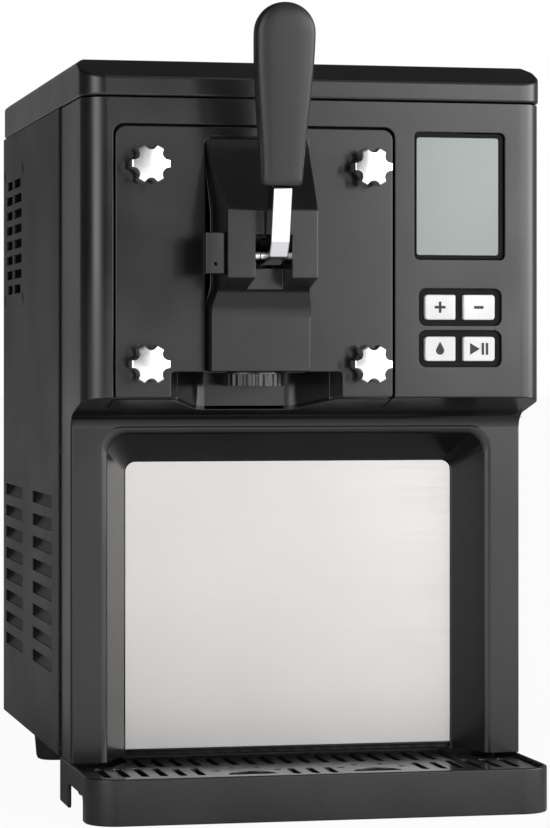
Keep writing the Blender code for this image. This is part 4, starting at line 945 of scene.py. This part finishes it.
def lever_arm():
    """Plated bell crank with a thinner tang inside the grip."""
    corners = [(0.018, 0.312, 0.0039), (0.018, 0.320, 0.0039), (-0.020, 0.320, 0.006)]
    corners += [(-0.026, 0.325, 0.004), (-0.0470, 0.325, 0.003), (-0.0563, 0.3715, 0.001)]
    corners += [(-0.0650, 0.3715, 0.001), (-0.0650, 0.3512, 0.0), (-0.0688, 0.3510, 0.0)]
    corners += [(-0.0620, 0.3220, 0.0015), (-0.0565, 0.3135, 0.003), (-0.0400, 0.3100, 0.004)]
    corners += [(-0.0240, 0.3100, 0.004), (-0.0200, 0.312, 0.006)]
    outline = rounded([(back(d), z, r) for d, z, r in corners], 8)
    arm = prism("lever_bar", outline, "YZ", SLOT_X - LEVER_HALF, SLOT_X + LEVER_HALF)
    cut(arm, cylinder("lever_hole", PIN, "X", 0.03, 0.0033, 32))
    soften(arm, 0.0011, 3, 50)
    show(arm, CHROME, "lever", "chrome", "lever_arm")


def lever_grip():
    """Paddle grip: it widens upwards to a round top, leans forward, and its edges are fully rounded."""
    low, high = 0.3524, 0.4521
    half_low, half_high, thick = 0.0115, 0.0167, 0.0158
    sections = 40
    rings = []
    top_centre = high - half_high
    for k in range(sections + 1):
        t = k / sections
        z = low + (high - low) * (1 - (1 - t) ** 1.6)
        share = (min(z, top_centre) - low) / (top_centre - low)
        half = half_low + (half_high - half_low) * (share * share * (3 - 2 * share)) ** 0.85
        depth = thick / 2 * (0.93 + 0.07 * math.sin(math.pi * min(1.0, share)))
        if z > top_centre:
            rise = (z - top_centre) / half_high
            crown = math.sqrt(max(0.0, 1 - rise * rise))
            half *= max(crown, 0.02)
            depth *= max(crown**0.55, 0.05)
        if k == 0:
            half, depth = half - 0.0012, depth - 0.0012
        rings.append((z, half, depth))
    rings.insert(1, (low + 0.0012, half_low, thick / 2 * 0.93))
    power, tilt = 4.2, 0.008
    lean = Matrix.Rotation(math.radians(5), 4, "X")
    place = Matrix.Translation((SLOT_X, back(-0.0615), low)) @ lean @ Matrix.Translation((0, 0, -low))
    skins = []
    for z, half, depth in rings:
        ring = []
        for m in range(48):
            a = 2 * math.pi * m / 48
            x = half * math.copysign(abs(math.cos(a)) ** (2 / power), math.cos(a))
            y = depth * math.copysign(abs(math.sin(a)) ** (2 / power), math.sin(a))
            ring.append(place @ Vector((x + tilt * (z - low), y, z)))
        skins.append(ring)
    grip = loft("grip_paddle", skins)
    socket = [(-0.0654, 0.340), (-0.0654, 0.3721), (-0.0559, 0.3721), (-0.0495, 0.340)]
    outline = [(back(d), z) for d, z in socket]
    cut(grip, prism("grip_socket", outline, "YZ", SLOT_X - LEVER_HALF - GAP, SLOT_X + LEVER_HALF + GAP))
    smooth(grip, 60, False)
    show(grip, GRIP, "lever", "grip_plastic", "lever_grip")


def nozzle_cap():
    """Ribbed ring nut with a thin flange and a star opening."""
    centre = Vector((SPOUT_X, back(VALVE_DEPTH), 0.0))
    ribs, per_rib = 28, 10
    outline = []
    for i in range(ribs * per_rib):
        angle = 2 * math.pi * i / (ribs * per_rib)
        radius = 0.0177 + 0.00024 * math.cos(ribs * angle)
        outline.append((centre.x + radius * math.cos(angle), centre.y + radius * math.sin(angle)))
    low = NOZZLE_LOW.z
    cap = prism("nozzle_nut", outline, "XY", low, low + 0.0066)
    flange_mid = (centre.x, centre.y, NOZZLE_HIGH.z - 0.0005)
    join(cap, cylinder("nozzle_flange", flange_mid, "Z", 0.0010, 0.0188, 96))
    star = []
    for i in range(12):
        angle = math.pi * i / 6
        radius = 0.0112 if i % 2 else 0.0072
        star.append((centre.x + radius * math.cos(angle), centre.y + radius * math.sin(angle)))
    cut(cap, prism("nozzle_star", star, "XY", 0.23, 0.26))
    cut(cap, cylinder("nozzle_bore", (centre.x, centre.y, 0.250), "Z", 0.009, 0.0125))
    smooth(cap, 35, False)
    show(cap, DOOR, "nozzle", "door_plastic", "nozzle_cap")


# Control panel.


def display():
    corners = (HOUSING_LOW.x, HOUSING_LOW.z, HOUSING_HIGH.x, HOUSING_HIGH.z)
    housing = prism("display_bezel", rectangle(*corners, 0.0027), "XZ", back(0.0022), HOUSING_HIGH.y)
    corners = (LENS_LOW.x - 0.0003, LENS_LOW.z - 0.0003, LENS_HIGH.x + 0.0003, LENS_HIGH.z + 0.0003)
    cut(housing, prism("lens_pocket", rectangle(*corners, 0.0018), "XZ", back(-0.01), LENS_HIGH.y + GAP))
    clean(housing)
    smooth(housing)
    # The bezel's near-black is painted shade for the recess around the window.
    show(housing, SHADOW, "chassis", "inner_plastic", "display_housing")
    outline = rectangle(LENS_LOW.x, LENS_LOW.z, LENS_HIGH.x, LENS_HIGH.z, 0.0016)
    lens = prism("display_window", outline, "XZ", LENS_LOW.y, LENS_HIGH.y)
    bevel(lens, 0.0003, 2)
    smooth(lens)
    show(lens, GLASS, "chassis", "display_glass", "display_lens")


def key_cap(name):
    """One key with a soft edge. Returns its middle and the Y of its face."""
    low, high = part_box(name)
    key = prism(name + "_cap", key_outline(name, 0.0), "XZ", low.y, high.y)
    bevel(key, 0.0007, 3, 60)
    smooth(key)
    show(key, KEY, name, "button_silver", name)
    return (low + high) / 2, low.y


def symbol(name, body, outline_sets, face_y):
    """Printed symbol: flat shapes a hair proud of the key's face."""
    for index, points in enumerate(outline_sets):
        mark = prism(f"{name}_{index}", points, "XZ", face_y - 0.00012, face_y + 0.0002)
        show(mark, INK, body, "inner_plastic")


def bar(x, z, half_x, half_z):
    return [(x + side * half_x, z + rise * half_z) for side, rise in ((-1, -1), (1, -1), (1, 1), (-1, 1))]


def keys():
    middle, face = key_cap("button_plus")
    arm, thick = 0.0032, 0.00075
    x, z = middle.x, middle.z
    plus = [(x - arm, z - thick), (x - thick, z - thick), (x - thick, z - arm), (x + thick, z - arm)]
    plus += [(x + thick, z - thick), (x + arm, z - thick), (x + arm, z + thick), (x + thick, z + thick)]
    plus += [(x + thick, z + arm), (x - thick, z + arm), (x - thick, z + thick), (x - arm, z + thick)]
    symbol("plus_mark", "button_plus", [plus], face)
    middle, face = key_cap("button_minus")
    symbol("minus_mark", "button_minus", [bar(middle.x, middle.z, 0.0028, 0.0008)], face)
    middle, face = key_cap("button_clean")
    drop = []
    for k in range(33):
        angle = math.radians(-215 + 250 * k / 32)
        drop.append((middle.x + 0.0024 * math.cos(angle), middle.z - 0.0010 + 0.0024 * math.sin(angle)))
    drop.append((middle.x, middle.z + 0.0042))
    symbol("drop_mark", "button_clean", [drop], face)
    middle, face = key_cap("button_start")
    x, z = middle.x, middle.z
    play = [(x - 0.0052, z - 0.0034), (x + 0.0006, z), (x - 0.0052, z + 0.0034)]
    bars = [bar(x + 0.0024, z, 0.0007, 0.0034), bar(x + 0.0049, z, 0.0007, 0.0034)]
    symbol("start_mark", "button_start", [play] + bars, face)


# Drip tray and grate.


SLOT_WIDTH, SLOT_PITCH = 0.0042, 0.0108
GRATE_REAR, GRATE_THICK = 0.0703, 0.0026
SHELF_HALF, REAR_SLOT_START, REAR_SLOT_END = 0.0970, 0.0435, 0.0825


def tray_outline(inset):
    half, front, rear = TRAY_HIGH.x - inset, TRAY_LOW.y + inset, TRAY_HIGH.y - inset
    corners = [(-half, front, 0.018 - inset), (half, front, 0.018 - inset)]
    corners += [(half, rear, 0.004 - inset / 2), (-half, rear, 0.004 - inset / 2)]
    return rounded(corners, 12)


def drip_tray():
    """Tray on a skirt, with a rounded rim, arched sides and two ledges for the grate."""
    floor, thick = 0.0172, 0.0018
    tray = prism("tray_body", tray_outline(0.0), "XY", TRAY_LOW.z, TRAY_HIGH.z)
    cut(tray, prism("tray_hollow", tray_outline(0.0022), "XY", -0.01, floor - thick))
    cut(tray, prism("tray_basin", tray_outline(0.0022), "XY", floor, 0.05))
    first, last, arch_top = back(0.002), back(0.058), 0.0141
    arch = [(first, -0.01, 0), (last, -0.01, 0), (last, arch_top, 0.004), (first, arch_top, 0.004)]
    cut(tray, prism("tray_arch", rounded(arch, 6), "YZ", -FAR, FAR))
    cut(tray, box("tray_rear_arch", (-0.1275, back(0.085), -0.01), (0.1275, back(0.10), arch_top)))
    for low_x, high_x in ((-0.1312, -0.1272), (0.1272, 0.1312)):
        ledge_low = (low_x, back(-0.002), floor - 0.0005)
        join(tray, box("tray_ledge", ledge_low, (high_x, back(0.044), GRATE_LOW.z - GAP)))
    soften(tray, 0.0010, 3, 40)
    show(tray, TRAY, "drip_tray", "tray_plastic", "drip_tray")


def slot_prism(x, first, last):
    half = SLOT_WIDTH / 2
    outline = rectangle(x - half, back(first), x + half, back(last), half - 0.0001, 5)
    return prism("grate_slot", outline, "XY", -0.01, 0.05)


def rear_slots():
    """The rear row of slots, which crosses the grate's rear edge and ends in the tray's shelf."""
    places = [side * SLOT_PITCH * (k + 0.5) for side in (-1, 1) for k in range(9)]
    return [slot_prism(x, REAR_SLOT_START, REAR_SLOT_END) for x in places]


def tray_shelf():
    """Fixed strip of the tray behind the grate. The slots of the rear row run on into it."""
    low = (-SHELF_HALF, back(GRATE_REAR + GAP), GRATE_HIGH.z - GRATE_THICK)
    shelf = box("tray_shelf", low, (SHELF_HALF, back(0.0905), GRATE_HIGH.z))
    cut(shelf, *rear_slots())
    smooth(shelf)
    show(shelf, GRATE, "drip_tray", "tray_plastic")


def drip_grate():
    """Lift-out grate with two rows of round-ended slots, small holes and two half-moons for cups."""
    low, high = GRATE_HIGH.z - GRATE_THICK, GRATE_HIGH.z
    right = [(0.1293, -0.0190, 0.0145), (0.1293, 0.0462, 0.001), (0.1115, 0.0462, 0.001)]
    right.append((SHELF_HALF, GRATE_REAR, 0.001))
    left = [(-x, depth, radius) for x, depth, radius in right]
    corners = [(x, back(depth), radius) for x, depth, radius in [left[0], *right, *left[:0:-1]]]
    plate = prism("grate_plate", rounded(corners, 8), "XY", low, high)
    slots = [slot_prism(x, -0.002, 0.022) for x in (-SLOT_PITCH, 0.0, SLOT_PITCH)]
    for side in (-1, 1):
        for k in range(6):
            last = 0.0400 if k < 4 else 0.0330
            slots.append(slot_prism(side * (0.1190 - SLOT_PITCH * k), 0.0020, last))
    cut(plate, *slots, *rear_slots())
    for x in (-0.0365, 0.0365):
        moon = []
        for k in range(17):
            angle = math.pi * (1 - k / 16)
            moon.append((x + 0.0140 * math.cos(angle), back(0.0010 + 0.0140 * math.sin(angle))))
        cut(plate, prism("grate_moon", moon, "XY", low - 0.01, high + 0.01))
        for degrees in (18, 66, 114, 162):
            turn = math.radians(degrees)
            place = (x + 0.0188 * math.cos(turn), back(0.0130 + 0.0188 * math.sin(turn)), high)
            cut(plate, cylinder("grate_hole", place, "Z", 0.02, 0.0023, 24))
    soften(plate, 0.0005, 2, 40)
    show(plate, GRATE, "drip_grate", "tray_plastic", "drip_grate")


# Feet and the mains entry.


def foot(node):
    """Tapered rubber foot with a rounded tread."""
    low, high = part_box(node)
    centre = (low + high) / 2
    top = high.z
    profile = [(0.0, top), (0.0136, top), (0.0140, top - 0.0005), (0.0140, top - 0.0045)]
    profile += [(0.0137, top - 0.005), (0.0120, 0.0024), (0.0112, 0.0006), (0.0100, 0.0)]
    profile += [(0.0060, 0.0), (0.0054, 0.0010), (0.0, 0.0010)]
    pad = turned(node + "_pad", profile, (centre.x, centre.y, 0.0), "Z", 56)
    smooth(pad, 40, False)
    show(pad, RUBBER, "chassis", "rubber", node)


def mains_entry():
    """The inlet with its three blades, and the rocker switch beside it."""
    x, z = -0.087, 0.059
    low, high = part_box("power_inlet")
    inlet = box("inlet_body", low, high)
    shape = ((-1, -1, 0.001), (1, -1, 0.001), (1, 1, 0.004), (-1, 1, 0.004))
    well = [(x + side * 0.0115, z + rise * 0.0075, radius) for side, rise, radius in shape]
    cut(inlet, prism("inlet_well", rounded(well, 5), "XZ", back(0.328), back(0.36)))
    soften(inlet, 0.0004, 2)
    show(inlet, INNER, "chassis", "inner_plastic", "power_inlet")
    for index, (dx, dz) in enumerate(((-0.007, -0.002), (0.0, 0.002), (0.007, -0.002))):
        pin_low = (x + dx - 0.001, back(0.3278), z + dz - 0.002)
        pin = box(f"inlet_blade_{index}", pin_low, (x + dx + 0.001, back(0.3400), z + dz + 0.002))
        bevel(pin, 0.0003, 2)
        smooth(pin)
        show(pin, HOPPER_STEEL, "chassis", "hopper_steel")
    low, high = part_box("power_switch")
    points = [(0.3300, -0.0055), (0.3462, -0.0088), (0.3436, 0.0), (0.3445, 0.0088), (0.3300, 0.0055)]
    outline = [(back(d), z + dz) for d, dz in points]
    rocker = prism("switch_rocker", outline, "YZ", low.x, high.x)
    bevel(rocker, 0.0006, 3)
    smooth(rocker)
    show(rocker, INNER, "power_switch", "inner_plastic", "power_switch")


# Floor, studio and camera.


def studio_world():
    """White to the camera. Light and reflections get a grey level by direction from the machine instead."""
    world = bpy.data.worlds.new("studio")
    bpy.context.scene.world = world
    world.use_nodes = True
    nodes, link = world.node_tree.nodes, world.node_tree.links.new

    def math_node(operation, first, second):
        node = nodes.new("ShaderNodeMath")
        node.operation = operation
        for socket, value in zip(node.inputs, (first, second)):
            if isinstance(value, (int, float)):
                socket.default_value = value
            else:
                link(value, socket)
        return node.outputs["Value"]

    place = nodes.new("ShaderNodeTexCoord")
    parts = nodes.new("ShaderNodeSeparateXYZ")
    link(place.outputs["Generated"], parts.inputs["Vector"])
    forward = math_node("MULTIPLY", parts.outputs["Y"], -1.0)
    azimuth = math_node("ARCTAN2", parts.outputs["X"], forward)
    turn = math_node("MULTIPLY_ADD", azimuth, 0.5 / math.pi)
    turn.node.inputs[2].default_value = 0.5
    ramp = nodes.new("ShaderNodeValToRGB")
    stops = ramp.color_ramp.elements
    while len(stops) > 1:
        stops.remove(stops[-1])
    for degrees, level in STUDIO_LEVELS:
        stop = stops.new(0.5 + degrees / 360) if degrees > -180 else stops[0]
        stop.color = (level / BRIGHTEST, level / BRIGHTEST, level / BRIGHTEST, 1.0)
    link(turn, ramp.inputs["Fac"])
    height = add_range(world, FADE_START, FADE_END, BRIGHTEST, BRIGHTEST * CEILING_LEVEL)
    link(parts.outputs["Z"], height.inputs["Value"])
    level = math_node("MULTIPLY", ramp.outputs["Color"], height.outputs["Result"])
    seen = nodes.new("ShaderNodeLightPath")
    strength = math_node("MAXIMUM", level, seen.outputs["Is Camera Ray"])
    link(strength, nodes["Background"].inputs["Strength"])
    nodes["Background"].inputs["Color"].default_value = (1.0, 1.0, 1.0, 1.0)


def stage():
    """A pale floor, nearly plain white to the camera. In front it also lights the machine from below."""
    floor_mesh = bmesh.new()
    bmesh.ops.create_grid(floor_mesh, x_segments=1, y_segments=1, size=30.0)
    floor = mesh_of(floor_mesh, "floor")
    material, shader = shader_of("floor_white", (0.55, 0.55, 0.55), 0.7)
    link = material.node_tree.links.new
    glow = add_node(material, "ShaderNodeEmission", Strength=1.0)
    seen = add_node(material, "ShaderNodeLightPath")
    share = add_node(material, "ShaderNodeMath", operation="MULTIPLY")
    share.inputs[1].default_value = FLOOR_WHITENESS
    blend = add_node(material, "ShaderNodeMixShader")
    lift = add_node(material, "ShaderNodeEmission")
    place = add_node(material, "ShaderNodeTexCoord")
    parts = add_node(material, "ShaderNodeSeparateXYZ")
    fade = add_range(material, LIFT_START_Y, LIFT_END_Y, FLOOR_LIFT, 0.0)
    link(place.outputs["Object"], parts.inputs["Vector"])
    link(parts.outputs["Y"], fade.inputs["Value"])
    link(fade.outputs["Result"], lift.inputs["Strength"])
    lit = add_node(material, "ShaderNodeAddShader")
    link(shader.outputs["BSDF"], lit.inputs[0])
    link(lift.outputs["Emission"], lit.inputs[1])
    link(seen.outputs["Is Camera Ray"], share.inputs[0])
    link(share.outputs["Value"], blend.inputs["Fac"])
    link(lit.outputs["Shader"], blend.inputs[1])
    link(glow.outputs["Emission"], blend.inputs[2])
    link(blend.outputs["Shader"], material.node_tree.nodes["Material Output"].inputs["Surface"])
    floor.data.materials.append(material)


def camera():
    """A level camera with a long lens, left of the machine and aimed a little to the right."""
    turn = math.radians(12.145)
    data = bpy.data.cameras.new("camera")
    data.sensor_width = 36.0
    data.lens = 136.017391
    data.shift_y = -0.05205314
    obj = bpy.data.objects.new("camera", data)
    bpy.context.scene.collection.objects.link(obj)
    obj.location = (-0.3958, back(-1.7270), 0.2516)
    obj.rotation_euler = (math.pi / 2, 0.0, -turn)
    bpy.context.scene.camera = obj


def build():
    camera()
    studio_world()
    stage()
    bpy.context.scene.view_settings.view_transform = "Standard"
    dress_cad_nodes()
    casing()
    notch_liner()
    lid()
    splash_panel()
    side_panel("left_sheet", -1, "left_side_panel")
    side_panel("right_sheet", 1, "right_side_panel")
    rear_panel()
    door()
    for index, middle in knob_places():
        star_knob(index, middle)
    pivot_pin()
    lever_arm()
    lever_grip()
    nozzle_cap()
    display()
    key_surround()
    keys()
    drip_tray()
    tray_shelf()
    drip_grate()
    for node in ("foot_front_left", "foot_front_right", "foot_rear_left", "foot_rear_right"):
        foot(node)
    mains_entry()


build()
